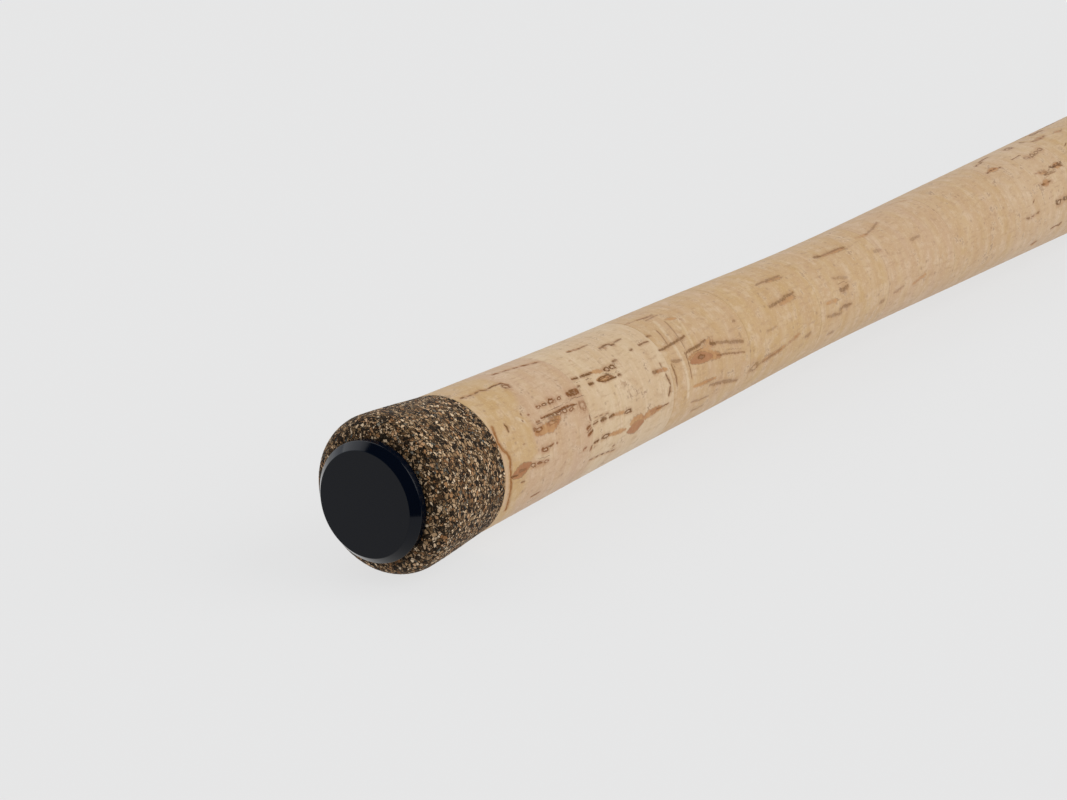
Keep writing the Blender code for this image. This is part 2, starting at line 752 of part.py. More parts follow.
def foot_mesh(sign, reach, foot_length, base, width, thickness):
    """Flat foot that lies on the blank and thins towards its tip."""
    level = Vector((0.0, 0.0, 1.0))
    heel, toe, tip = width * FOOT_HEEL_SHARE, width * FOOT_TOE_SHARE, thickness * FOOT_TIP_SHARE
    shape = (
        (reach - toe, heel, thickness),
        (reach + foot_length * FOOT_FULL_SHARE, width, thickness),
        (reach + foot_length, toe, tip),
    )
    stations = []
    for x, wide, thick in shape:
        stations.append((Vector((sign * x, -(base + thick / 2), 0.0)), level, wide, thick))
    if sign < 0:
        stations.reverse()
    return bar(stations)


def frame_mesh(guide, station):
    """Guide frame: hoop, legs and one or two feet, as one body."""
    rise = hoop_centre(guide, station)
    base = foot_base_radius(station, guide.reach, guide.foot_length)
    foot_width, foot_thickness = foot_size(guide.bar)
    pieces = []
    signs = (1, -1) if guide.two_feet else (1,)
    for sign in signs:
        pieces.append(
            foot_mesh(sign, guide.reach, guide.foot_length, base, foot_width, foot_thickness)
        )
    landing = guide.reach + guide.bar * LEG_OVERLAP_SHARE
    height = -(base + foot_thickness / 2)
    paired_width = guide.bar * PAIRED_LEG_SHARE
    at_foot = foot_thickness * LEG_LANDING_SHARE
    paired = -1 if guide.two_feet else 1
    for side in (1, -1):
        spot = Vector((paired * landing, height, side * guide.bar / 4))
        pieces.append(
            leg_mesh(side * LEG_ANGLE, rise, guide.hoop_radius, guide.hoop_wall, spot,
                     paired_width * LEG_TOP_SHARE, paired_width, at_foot)
        )
    if guide.two_feet:
        width = guide.bar * SINGLE_LEG_SHARE
        spot = Vector((landing, height, 0.0))
        pieces.append(
            leg_mesh(0.0, rise, guide.hoop_radius, guide.hoop_wall, spot,
                     width * LEG_TOP_SHARE, width, at_foot)
        )
    hoop = hoop_mesh(guide.hoop_radius, guide.hoop_wall, guide.hoop_length, rise)
    return combined(hoop, pieces, "UNION")


def tip_hoop_rise():
    """Height of the tip ring over the rod's axis."""
    tube = bore_radius(TIP_TUBE_END - TIP_TUBE_LENGTH) + TIP_TUBE_WALL
    return tube + TIP_HOOP_RADIUS - TIP_HOOP_WALL / 2


def tip_frame_mesh():
    """Tip frame: a tube over the end of the blank, a hoop on top of it and two braces."""
    rear = TIP_TUBE_END - TIP_TUBE_LENGTH
    bore = bore_radius(rear)
    outer = bore + TIP_TUBE_WALL
    offset = rear - TIP_HOOP_AT
    end = TIP_TUBE_END - TIP_HOOP_AT
    floor = end - TIP_TUBE_WALL
    loops = [
        circle(end, outer, BLANK_SIDES),
        circle(offset, outer, BLANK_SIDES),
        circle(offset, bore, BLANK_SIDES),
        circle(floor, bore, BLANK_SIDES),
    ]
    tube = skin(loops, hollow=False)
    rise = tip_hoop_rise()
    braces = []
    for side in (1, -1):
        spot = Vector((-TIP_BRACE_SETBACK, -(bore + TIP_TUBE_WALL / 2), side * TIP_BAR / 4))
        width = TIP_BAR * PAIRED_LEG_SHARE
        braces.append(
            leg_mesh(side * LEG_ANGLE, rise, TIP_HOOP_RADIUS, TIP_HOOP_WALL, spot,
                     width, width, TIP_TUBE_WALL * LEG_LANDING_SHARE)
        )
    hoop = hoop_mesh(TIP_HOOP_RADIUS, TIP_HOOP_WALL, TIP_HOOP_LENGTH, rise)
    return combined(hoop, [tube] + braces, "UNION")


def keeper_wrap_span():
    """Where a keeper's wrap starts from the keeper's middle, and the length of foot below it."""
    inset = KEEPER_HALF_SPAN + KEEPER_BEND_RADIUS + GAP
    return inset, KEEPER_HALF_SPAN + KEEPER_FOOT_LENGTH - inset


def keeper_mesh(station):
    """Hook keeper: a wire bow with a thinned foot at each end, on the side away from the guides."""
    wire = KEEPER_WIRE_RADIUS
    base = foot_base_radius(station, KEEPER_HALF_SPAN, KEEPER_FOOT_LENGTH)
    tip = 2 * wire * FOOT_TIP_SHARE
    inset, length = keeper_wrap_span()
    top = base + KEEPER_RISE
    bend = KEEPER_BEND_RADIUS
    half = [
        (KEEPER_HALF_SPAN + KEEPER_FOOT_LENGTH, base + tip / 2, tip),
        (inset + length * FOOT_FULL_SHARE, base + wire, 2 * wire),
        (KEEPER_HALF_SPAN + bend, base + wire, 2 * wire),
        (KEEPER_HALF_SPAN, base + wire + bend, 2 * wire),
        (KEEPER_HALF_SPAN, top - bend, 2 * wire),
        (KEEPER_HALF_SPAN - bend, top, 2 * wire),
    ]
    level = Vector((0.0, 0.0, 1.0))
    path = [(-x, y, thick) for x, y, thick in half] + list(reversed(half))
    return bar([(Vector((x, y, 0.0)), level, 2 * wire, thick) for x, y, thick in path])


def guide_stations():
    """Stations of the guides, from the reel to the tip."""
    on_butt = KEEPER_WRAP_END + BUTT_GUIDE_SHARE * (SOCKET_WRAP_START - KEEPER_WRAP_END)
    spacings = [SPACING_GROWTH**k for k in range(len(GUIDES) - 1)]
    nearest = PLUG_WRAP_START + PLAIN_WRAP_LENGTH + TIP_GUIDE_SETBACK
    unit = (TIP_HOOP_AT - nearest) / sum(spacings)
    stations, at = [], TIP_HOOP_AT
    for spacing in spacings:
        at -= unit * spacing
        stations.append(at)
    return [on_butt] + list(reversed(stations))


def build_handle(group, metal, burl, cork):
    """Butt cap, burl ring, rear grip, foregrip and winding check."""
    place("butt_cap", cap_mesh(), metal, 0.0, group)
    place("butt_burl_ring", burl_mesh(), burl, BURL_START, group)
    for i in range(REAR_RING_COUNT):
        start = REAR_GRIP_START + i * RING_PITCH
        mesh = cork_mesh(start, REAR_GRIP_START, REAR_OUTLINE)
        place(f"rear_cork_{i + 1:02d}", mesh, cork, start, group)
    for i in range(FORE_RING_COUNT):
        start = FORE_GRIP_START + i * RING_PITCH
        mesh = cork_mesh(start, FORE_GRIP_START, FORE_OUTLINE)
        place(f"fore_cork_{i + 1}", mesh, cork, start, group)
    place("fore_burl_ring", nose_mesh(), burl, NOSE_START, group)
    place("winding_check", check_mesh(), metal, CHECK_START, group)


def build_seat(root, metal, graphite, cork):
    """Reel seat: arbor, tube, fixed hood, and the sliding hood with its lock nut."""
    place("seat_arbor", arbor_mesh(), cork, SEAT_START, root)
    place("seat_tube", seat_mesh(), graphite, SEAT_START, root)
    place("fixed_hood", hood_mesh(forward=True, collar=False), metal, SEAT_START, root)
    hood_at = SEAT_START + HOOD_LENGTH + SLIDING_HOOD_SETBACK
    hood_group = carrier("hood_slide", hood_at, root)
    place("sliding_hood", sliding_hood_mesh(), metal, hood_at, hood_group)
    nut_at = hood_at + HOOD_LENGTH + GAP
    nut_group = carrier("nut_axis", nut_at, hood_group)
    place("lock_nut", nut_mesh(), metal, nut_at, nut_group)


def build_keeper(group, steel, thread):
    """Hook keeper and the two wraps that hold it."""
    place("hook_keeper", keeper_mesh(KEEPER_AT), steel, KEEPER_AT, group)
    base = foot_base_radius(KEEPER_AT, KEEPER_HALF_SPAN, KEEPER_FOOT_LENGTH)
    inset, length = keeper_wrap_span()
    for name, to_front in (("keeper_wrap_rear", False), ("keeper_wrap_front", True)):
        at = KEEPER_AT + (inset if to_front else -inset)
        mesh = foot_wrap_mesh(at, length, KEEPER_WIRE_RADIUS, base, 2 * KEEPER_WIRE_RADIUS, to_front, 1)
        place(name, mesh, thread, at, group)


def build_guide(guide, station, group, steel, ceramic, thread):
    """One guide: frame, ring and a wrap over each foot."""
    place(f"{guide.name}_frame", frame_mesh(guide, station), steel, station, group)
    ring_radius = guide.hoop_radius - guide.hoop_wall - GAP
    ring = ring_mesh(ring_radius, guide.ring_wall, guide.hoop_length, hoop_centre(guide, station))
    place(f"{guide.name}_ring", ring, ceramic, station, group)
    base = foot_base_radius(station, guide.reach, guide.foot_length)
    width, thickness = foot_size(guide.bar)
    inset = guide.reach + guide.bar
    length = guide.foot_length - guide.bar
    wraps = [("wrap_front", True)]
    if guide.two_feet:
        wraps.append(("wrap_rear", False))
    for name, to_front in wraps:
        at = station + (inset if to_front else -inset)
        mesh = foot_wrap_mesh(at, length, width / 2, base, thickness, to_front)
        place(f"{guide.name}_{name}", mesh, thread, at, group)


def build_sections(root, tip, metal, varnish, thread):
    """Both blanks and the ferrule between them."""
    start = CAP_FLANGE_DEPTH + GAP
    place("butt_blank", tube_mesh(start, BUTT_BLANK_END, BLANK_WALL, BLANK_WALL), varnish, start, root)
    place("ferrule_socket", socket_mesh(), metal, SOCKET_START, root)
    place("socket_wrap", plain_wrap_mesh(SOCKET_WRAP_START), thread, SOCKET_WRAP_START, root)
    place("ferrule_plug", plug_mesh(), metal, PLUG_COLLAR_START, tip)
    place("plug_wrap", plain_wrap_mesh(PLUG_WRAP_START), thread, PLUG_WRAP_START, tip)
    end = TIP_TUBE_END - TIP_TUBE_WALL - GAP
    mesh = tube_mesh(TIP_BLANK_START, end, BLANK_WALL, TIP_BLANK_WALL)
    place("tip_blank", mesh, varnish, TIP_BLANK_START, tip)


def build_tip_ring(tip, steel, ceramic, thread):
    """Tip ring, its frame and its wrap."""
    place("tip_frame", tip_frame_mesh(), steel, TIP_HOOP_AT, tip)
    radius = TIP_HOOP_RADIUS - TIP_HOOP_WALL - GAP
    place("tip_ring", ring_mesh(radius, TIP_RING_WALL, TIP_HOOP_LENGTH, tip_hoop_rise()), ceramic,
          TIP_HOOP_AT, tip)
    at = TIP_TUBE_END - TIP_TUBE_LENGTH - GAP - PLAIN_WRAP_LENGTH
    place("tip_wrap", plain_wrap_mesh(at), thread, at, tip)


def main():
    """Builds the whole rod."""
    for old in list(bpy.data.objects):
        bpy.data.objects.remove(old, do_unlink=True)
    metal = finish("black_anodised", (0.020, 0.022, 0.025), 0.32, 1.0)
    burl = finish("burl_cork", (0.235, 0.120, 0.052), 0.75, 0.0)
    cork = finish("cork", (0.560, 0.400, 0.230), 0.80, 0.0)
    graphite = finish("graphite", (0.022, 0.022, 0.024), 0.38, 0.0)
    varnish = finish("blank_varnish", (0.016, 0.012, 0.011), 0.16, 0.0)
    thread = finish("thread_wrap", (0.075, 0.012, 0.010), 0.22, 0.0)
    steel = finish("guide_steel", (0.560, 0.570, 0.590), 0.22, 1.0)
    ceramic = finish("guide_ceramic", (0.060, 0.064, 0.072), 0.14, 0.0)
    root = carrier("butt_section", 0.0)
    tip = carrier("tip_section", PLUG_COLLAR_START)
    build_handle(root, metal, burl, cork)
    build_seat(root, metal, graphite, cork)
    build_keeper(root, steel, thread)
    build_sections(root, tip, metal, varnish, thread)
    for i, (guide, station) in enumerate(zip(GUIDES, guide_stations())):
        build_guide(guide, station, tip if i else root, steel, ceramic, thread)
    build_tip_ring(tip, steel, ceramic, thread)


main()
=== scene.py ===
"""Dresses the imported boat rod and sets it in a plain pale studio.

The rod lies along +X, from the flat face of its butt cap at the origin to the tip ring. The reel and
the guides face -Y. All sizes are in metres unless a name says otherwise. Each sub-assembly is a class
that holds its sizes and makes its pieces, and each finish is a class that makes one material.
"""

import json
import logging
import math
from dataclasses import dataclass
from enum import Enum
from typing import Callable

import bpy
import numpy as np
from mathutils import Matrix, Vector

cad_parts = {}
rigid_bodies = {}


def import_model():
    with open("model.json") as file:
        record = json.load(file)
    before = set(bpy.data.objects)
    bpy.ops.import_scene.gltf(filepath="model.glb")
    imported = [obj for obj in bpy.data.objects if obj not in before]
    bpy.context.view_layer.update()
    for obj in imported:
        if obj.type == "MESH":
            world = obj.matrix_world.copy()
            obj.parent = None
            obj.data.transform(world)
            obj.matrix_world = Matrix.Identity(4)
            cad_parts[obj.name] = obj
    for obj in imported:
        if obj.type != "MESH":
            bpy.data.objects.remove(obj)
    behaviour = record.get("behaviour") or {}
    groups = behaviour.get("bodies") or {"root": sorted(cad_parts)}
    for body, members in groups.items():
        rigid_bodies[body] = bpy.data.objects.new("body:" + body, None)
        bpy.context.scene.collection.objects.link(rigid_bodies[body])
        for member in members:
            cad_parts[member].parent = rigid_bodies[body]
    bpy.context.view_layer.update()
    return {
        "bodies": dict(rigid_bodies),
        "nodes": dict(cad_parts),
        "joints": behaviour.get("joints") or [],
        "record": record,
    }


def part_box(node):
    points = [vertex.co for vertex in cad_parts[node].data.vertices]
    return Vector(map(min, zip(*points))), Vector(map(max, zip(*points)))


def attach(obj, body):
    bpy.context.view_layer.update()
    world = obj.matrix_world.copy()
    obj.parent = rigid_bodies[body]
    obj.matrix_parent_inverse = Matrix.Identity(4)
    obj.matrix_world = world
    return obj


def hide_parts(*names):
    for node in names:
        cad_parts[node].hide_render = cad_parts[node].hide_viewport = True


log = logging.getLogger("boat_rod")

Array = np.ndarray
Socket = bpy.types.NodeSocket
Colour = tuple[float, float, float]
Corners = list[tuple[float, float, float]]
Radius = Callable[[Array], Array]

TAU = math.tau
MM = 0.001
GAP = 0.0003
SEED = 41
Z_AXIS = np.array((0.0, 0.0, 1.0))


def smooth_step(low: float, high: float, value: Array) -> Array:
    """Share that rises from 0 at low to 1 at high, along 3t^2 - 2t^3. Low may be above high."""
    t = np.clip((value - low) / (high - low), 0.0, 1.0)
    return t * t * (3.0 - 2.0 * t)


def ripple(u: Array, v: Array, seed: float) -> Array:
    """Uneven wave between about -1 and 1: a sum of three slanted sines, which the seed shifts."""
    waves = ((1.0, 1.0, 0.7, 1.7), (0.7, -1.9, 1.3, 2.9), (0.5, 3.1, 2.7, 5.3))
    return sum(size * np.sin(a * u + b * v + c * seed) for size, a, b, c in waves) / 2.2


def around(sides: int) -> Array:
    """Angles of evenly spaced points round a circle."""
    return np.linspace(0.0, TAU, sides + 1)[:-1]


def quarter(points: int) -> Array:
    """Angles of evenly spaced points along a quarter turn, both ends counted."""
    return np.linspace(0.0, math.pi / 2, points)


def stations(*spans: tuple[float, float, float]) -> Array:
    """Rising stations along the rod, at a spacing for each span of (start, end, spacing)."""
    runs = [np.linspace(a, b, max(2, round((b - a) / step) + 1)) for a, b, step in spans]
    return np.unique(np.concatenate(runs).round(7))


@dataclass
class Shell:
    """Closed surface: its points, its quads and its triangles."""

    points: Array
    quads: Array
    triangles: Array

    @staticmethod
    def from_grid(points: Array, ring: bool = True) -> "Shell":
        """Surface over a grid whose columns close on themselves.

        Args:
            points: grid of points, rows by columns by 3.
            ring: whether the last row runs on to the first, as round a ring. Otherwise each end is
                closed by a fan of triangles to the middle of its row.

        Returns:
            The closed surface, facing outwards.
        """
        rows, columns = points.shape[:2]
        index = np.arange(rows * columns).reshape(rows, columns)
        here, ahead = (index, np.roll(index, -1, 0)) if ring else (index[:-1], index[1:])
        quads = np.stack((here, np.roll(here, -1, 1), np.roll(ahead, -1, 1), ahead), axis=-1).reshape(-1, 4)
        flat = points.reshape(-1, 3)
        triangles = np.zeros((0, 3), int)
        if not ring:
            flat = np.vstack((flat, points[0].mean(0), points[-1].mean(0)))
            low = (np.full(columns, rows * columns), np.roll(index[0], -1), index[0])
            high = (np.full(columns, rows * columns + 1), index[-1], np.roll(index[-1], -1))
            triangles = np.hstack((low, high)).T
        shell = Shell(flat, quads, triangles)
        return shell if shell.volume() > 0 else shell.placed(0.0, 1, -1)

    def volume(self) -> float:
        """Signed volume: positive when the faces point outwards.

        Returns:
            Volume in cubic metres.
        """
        corners = self.quads.T
        a, b, c = self.points[np.hstack((corners[[0, 1, 2]], corners[[0, 2, 3]], self.triangles.T))]
        return float((a * np.cross(b, c)).sum()) / 6.0

    def placed(self, x: float, along: int = 1, facing: int = 1) -> "Shell":
        """The surface with each station s moved to x + along s, and its faces turned over by facing -1."""
        points = self.points * (along, 1, 1) + (x, 0, 0)
        return Shell(points, self.quads[:, ::facing], self.triangles[:, ::facing])

    @staticmethod
    def joined(shells: list["Shell"]) -> "Shell":
        """One mesh of several surfaces.

        Args:
            shells: the surfaces, in order.

        Returns:
            Their points and faces in one.
        """
        starts = np.cumsum([0] + [len(s.points) for s in shells[:-1]])
        quads = np.vstack([s.quads + start for s, start in zip(shells, starts)])
        triangles = np.vstack([s.triangles + start for s, start in zip(shells, starts)])
        return Shell(np.vstack([s.points for s in shells]), quads, triangles)

    def mesh(self, name: str, sharp_degrees: float) -> bpy.types.Mesh:
        """Blender mesh of the surface.

        Args:
            name: name of the mesh.
            sharp_degrees: edges that bend more than this stay sharp.

        Returns:
            The mesh, smooth shaded between its sharp edges.
        """
        mesh = bpy.data.meshes.new(name)
        mesh.vertices.add(len(self.points))
        mesh.vertices.foreach_set("co", self.points.astype(np.float32).ravel())
        corners = np.concatenate((self.quads.ravel(), self.triangles.ravel()))
        sizes = np.repeat((4, 3), (len(self.quads), len(self.triangles)))
        mesh.loops.add(len(corners))
        mesh.loops.foreach_set("vertex_index", corners.astype(np.int32))
        mesh.polygons.add(len(sizes))
        mesh.polygons.foreach_set("loop_start", (np.cumsum(sizes) - sizes).astype(np.int32))
        mesh.update(calc_edges=True)
        mesh.validate()
        mesh.shade_smooth()
        mesh.set_sharp_from_angle(angle=math.radians(sharp_degrees))
        return mesh


def bent(start: Array, control: Array, end: Array, steps: int) -> Array:
    """Points of the quadratic curve start (1-t)^2 + 2 control t (1-t) + end t^2."""
    t = np.linspace(0.0, 1.0, steps + 1)[:, None]
    return start * (1 - t) ** 2 + control * (2 * t * (1 - t)) + end * t**2


def rounded(corners: Corners, steps: int = 4, ring: bool = True) -> Array:
    """Outline with its corners rounded: each corner gives way to a curve that is tangent to both sides.

    Args:
        corners: (station, radius, rounding) of each corner, where rounding is how far the curve
            reaches along both sides.
        steps: segments in each curve.
        ring: whether the outline closes on itself. If not, its two ends stay as they are.

    Returns:
        Rows of (station, radius).
    """
    outline = []
    count = len(corners)
    for i, (x, r, rounding) in enumerate(corners):
        here = np.array((x, r))
        sides = [np.array(corners[(i + k) % count][:2]) - here for k in (-1, 1)]
        lengths = [np.hypot(*side) for side in sides]
        reach = min(rounding, 0.4 * lengths[0], 0.4 * lengths[1])
        if reach < 1e-6 or (not ring and i in (0, count - 1)):
            outline.append(here)
            continue
        before, after = (side / length * reach for side, length in zip(sides, lengths))
        outline += [here + 1.2 * before, bent(here + before, here, here + after, steps), here + 1.2 * after]
    return np.vstack(outline)


def polar_grid(x: Array, angle: Array, out: Array, facing: float) -> Array:
    """Grid of points at polar radii, measured from the guides' side (facing -1) or the far side (+1)."""
    x = np.broadcast_to(np.asarray(x)[:, None], out.shape)
    return np.stack((x, facing * out * np.cos(angle), out * np.sin(angle)), axis=-1)


def revolve(outline: Array, sides: int, rise: float = 0.0, ring: bool = True) -> Shell:
    """Surface turned from an outline: at each angle the point lies (radius cos, radius sin) from the axis.

    Args:
        outline: rows of (station, radius).
        sides: points round the axis.
        rise: how far the axis lies from the rod's own, towards the guides.
        ring: whether the outline closes on itself.

    Returns:
        The turned surface.
    """
    radii = np.broadcast_to(outline[:, 1:], (len(outline), sides))
    return Shell.from_grid(polar_grid(outline[:, 0], around(sides), radii, 1) - (0.0, rise, 0.0), ring)


def sweep(path: Array, across: Array, width: Array, thickness: Array, power: float, sides: int = 20) -> Shell:
    """Bar swept along a path, whose section is |a/width|^p + |b/thickness|^p = 1.

    Args:
        path: points along the middle of the bar.
        across: direction of the bar's width, one for all or one at each point.
        width: full width at each point.
        thickness: full thickness at each point.
        power: 2 for an oval section, and more for a squarer one.
        sides: points round the section.

    Returns:
        The bar, closed at both ends.
    """
    along = np.gradient(path, axis=0)
    along /= np.linalg.norm(along, axis=1, keepdims=True)
    side = across - (across * along).sum(1, keepdims=True) * along
    side /= np.linalg.norm(side, axis=1, keepdims=True)
    face = np.cross(along, side)
    points = path[:, None]
    for wave, direction, size in ((np.cos, side, width), (np.sin, face, thickness)):
        share = np.sign(wave(around(sides))) * np.abs(wave(around(sides))) ** (2 / power)
        points = points + direction[:, None] * (np.asarray(size)[..., None] / 2 * share)[..., None]
    return Shell.from_grid(points, ring=False)


def smooth_through(knots: Array, x: Array) -> Array:
    """Height of a smooth curve through knots: a cubic between each two, with shared slopes.

    Args:
        knots: rows of (x, height).
        x: where the heights are wanted.

    Returns:
        Heights at x.
    """
    sx, sy = knots.T
    ends = np.arange(len(sx))
    before, after = np.maximum(ends - 1, 0), np.minimum(ends + 1, len(sx) - 1)
    slopes = (sy[after] - sy[before]) / (sx[after] - sx[before])
    i = np.clip(np.searchsorted(sx, x, side="right") - 1, 0, len(sx) - 2)
    span, rise = sx[i + 1] - sx[i], sy[i + 1] - sy[i]
    t = (x - sx[i]) / span
    bend_in = slopes[i] * span - rise
    bend_out = rise - slopes[i + 1] * span
    return sy[i] + rise * t + t * (1 - t) * (bend_in * (1 - t) + bend_out * t)


def taut_radius(angle: Array, radius: Array, top: Array, half_width: Array, corner: Array) -> Array:
    """Radius, at each polar angle, of a loop pulled tight round a tube and a flat foot on it.

    The loop is the outline of the smallest convex shape that holds the tube and the foot's two rounded
    corners, so it is the nearest of the straight lines that touch that shape.

    Args:
        angle: polar angles, measured from the foot's side.
        radius: the tube's radius on each row.
        top: how far the foot's top lies from the axis on each row.
        half_width: half the foot's width on each row.
        corner: rounding of the foot's corners on each row.

    Returns:
        Radii, rows by angles.
    """
    lean = np.radians(np.arange(-80, 80.5, 1.0))
    normal = angle[:, None] + lean
    tube, top, half, turn = (np.asarray(v, float)[:, None, None] for v in (radius, top, half_width, corner))
    reach = (top - turn) * np.cos(normal) + (half - turn) * np.abs(np.sin(normal)) + turn
    return (np.maximum(tube, reach) / np.cos(lean)).min(axis=2)


def ellipsoid(centre: Array, half: Array, sides: int = 20) -> Shell:
    """Ellipsoid with the given half sizes along X, Y and Z about a centre.

    Args:
        centre: Its centre.
        half: Half sizes along X, Y and Z.
        sides: Corners around X.

    Returns:
        The closed surface.
    """
    turn = np.linspace(0.0, math.pi, sides // 2 + 2)[1:-1]
    ball = revolve(np.stack((-np.cos(turn), np.sin(turn)), axis=-1), sides, ring=False)
    return Shell(ball.points * half + centre, ball.quads, ball.triangles)


@dataclass(frozen=True)
class Wire:
    """One output of a shader node. Arithmetic on wires adds Math nodes to their tree."""

    graph: "Graph"
    socket: Socket

    def math(self, operation: str, *values: "Wire | float") -> "Wire":
        """Result of a Math node on this wire and up to two more values."""
        return self.graph.node("Math", dict(enumerate((self, *values))), operation=operation)[0]

    def __add__(self, other: "Wire | float") -> "Wire":
        """Sum."""
        return self.math("ADD", other)

    def __sub__(self, other: "Wire | float") -> "Wire":
        """Difference."""
        return self.math("SUBTRACT", other)

    def __mul__(self, other: "Wire | float") -> "Wire":
        """Product."""
        return self.math("MULTIPLY", other)

    def __truediv__(self, other: "Wire | float") -> "Wire":
        """Quotient."""
        return self.math("DIVIDE", other)

    def __rtruediv__(self, other: float) -> "Wire":
        """A number divided by this wire."""
        return self.graph.node("Math", {0: other, 1: self}, operation="DIVIDE")[0]

    def scaled(self, factor: "Wire | float", offset: "Wire | float") -> "Wire":
        """This value times a factor, plus an offset."""
        return self.math("MULTIPLY_ADD", factor, offset)

    def rising(self, low: float, high: float, to_low: float = 0.0, to_high: float = 1.0) -> "Wire":
        """This value mapped smoothly from the range low to high onto another."""
        inputs = {0: self, 1: low, 2: high, 3: to_low, 4: to_high}
        return self.graph.node("MapRange", inputs, interpolation_type="SMOOTHSTEP")[0]

    def stretched(self, scale: Colour) -> "Wire":
        """This vector scaled by a different amount along each axis."""
        return self.graph.node("VectorMath", {0: self, 1: scale}, operation="MULTIPLY")[0]

    def along(self, direction: Colour) -> "Wire":
        """How far this vector reaches along a direction."""
        return self.graph.node("VectorMath", {0: self, 1: direction}, operation="DOT_PRODUCT")["Value"]

    def parts(self) -> list["Wire"]:
        """The three numbers of this colour."""
        made = self.graph.node("SeparateColor", {0: self})
        return [made[i] for i in range(3)]


Value = Wire | float | Colour


def plug(value: Value, target: Socket) -> None:
    """Links a wire to a node's input, or sets the input to a plain value, where a colour gets its alpha.

    Args:
        value: Wire, number or colour.
        target: The node's input.
    """
    if isinstance(value, Wire):
        value.graph.tree.links.new(value.socket, target)
    elif isinstance(value, tuple) and len(target.default_value) == 4:
        target.default_value = (*value, 1.0)
    else:
        target.default_value = value


class Graph:
    """Adds nodes to one node tree. Its place is the vector that noises and shared groups read."""

    def __init__(self, tree: bpy.types.NodeTree) -> None:
        """Keeps the tree that the nodes go in."""
        self.tree = tree
        self.place: Wire | None = None

    def outputs(self, node: bpy.types.Node) -> dict[str | int, Wire]:
        """Outputs of a node, by name and by number."""
        return {key: Wire(self, socket) for i, socket in enumerate(node.outputs) for key in (i, socket.name)}

    def node(self, kind: str, inputs: dict[str | int, Value] | None = None,
             **settings: object) -> dict[str | int, Wire]:
        """Adds one node.

        Args:
            kind: the node's type, without its ShaderNode prefix.
            inputs: a wire or value for each input, by name or number.
            settings: the node's own properties.

        Returns:
            Its outputs, by name and by number.
        """
        made = self.tree.nodes.new("ShaderNode" + kind)
        for key, value in settings.items():
            setattr(made, key, value)
        for key, value in (inputs or {}).items():
            plug(value, made.inputs[key])
        return self.outputs(made)

    def mix(self, share: Wire, first: Wire | Colour, second: Wire | Colour) -> Wire:
        """Colour between two colours."""
        return self.node("Mix", {0: share, 6: first, 7: second}, data_type="RGBA")[2]

    def layered(self, colour: Wire, layers: list[tuple[Wire, Wire | Colour]]) -> Wire:
        """Colour under layers of (share, colour), the lowest first.

        Args:
            colour: Colour below all layers.
            layers: Share and colour of each layer.

        Returns:
            The mixed colour.
        """
        for share, layer in layers:
            colour = self.mix(share, colour, layer)
        return colour

    def ramp(self, value: Wire, stops: tuple[tuple[float, Colour], ...]) -> Wire:
        """Colour of a ramp at a value.

        Args:
            value: place on the ramp.
            stops: (place, colour) of each stop, in rising order.

        Returns:
            The colour.
        """
        colour = self.node("ValToRGB", {0: value})[0]
        elements = colour.socket.node.color_ramp.elements
        while len(elements) < len(stops):
            elements.new(0.5)
        for element, (at, shade) in zip(elements, stops):
            element.position = at
            element.color = (*shade, 1.0)
        return colour

    def noise(self, scale: float, detail: float = 3.0, rough: float = 0.55,
              stretch: Colour = (1.0, 1.0, 1.0)) -> Wire:
        """Value of a cloudy noise at the graph's place, which is stretched first.

        Args:
            scale: Clouds a metre.
            detail: Octaves.
            rough: Strength of each further octave.
            stretch: Factors on X, Y and Z.

        Returns:
            Noise from 0 to 1.
        """
        vector = self.place if min(stretch) == 1.0 else self.place.stretched(stretch)
        inputs = {"Vector": vector, "Scale": scale, "Detail": detail, "Roughness": rough}
        return self.node("TexNoise", inputs)["Fac"]

    def shared(self, name: str, **numbers: float) -> dict[str | int, Wire]:
        """Outputs of a shared group at the graph's place."""
        return self.node("Group", {"Vector": self.place, **numbers}, node_tree=bpy.data.node_groups[name])

    def spiral(self, pitch: float) -> Wire:
        """Wave from 0 to 1 that winds round the rod, one ridge a turn."""
        where = self.shared("round_the_rod")
        return ((where["Along"] / pitch + where["Turn"]) * TAU).math("SINE").scaled(0.5, 0.5)

    def bump(self, height: Wire, distance: float) -> Wire:
        """Normal that a height map bends."""
        return self.node("Bump", {"Strength": 1.0, "Distance": distance, "Height": height})["Normal"]


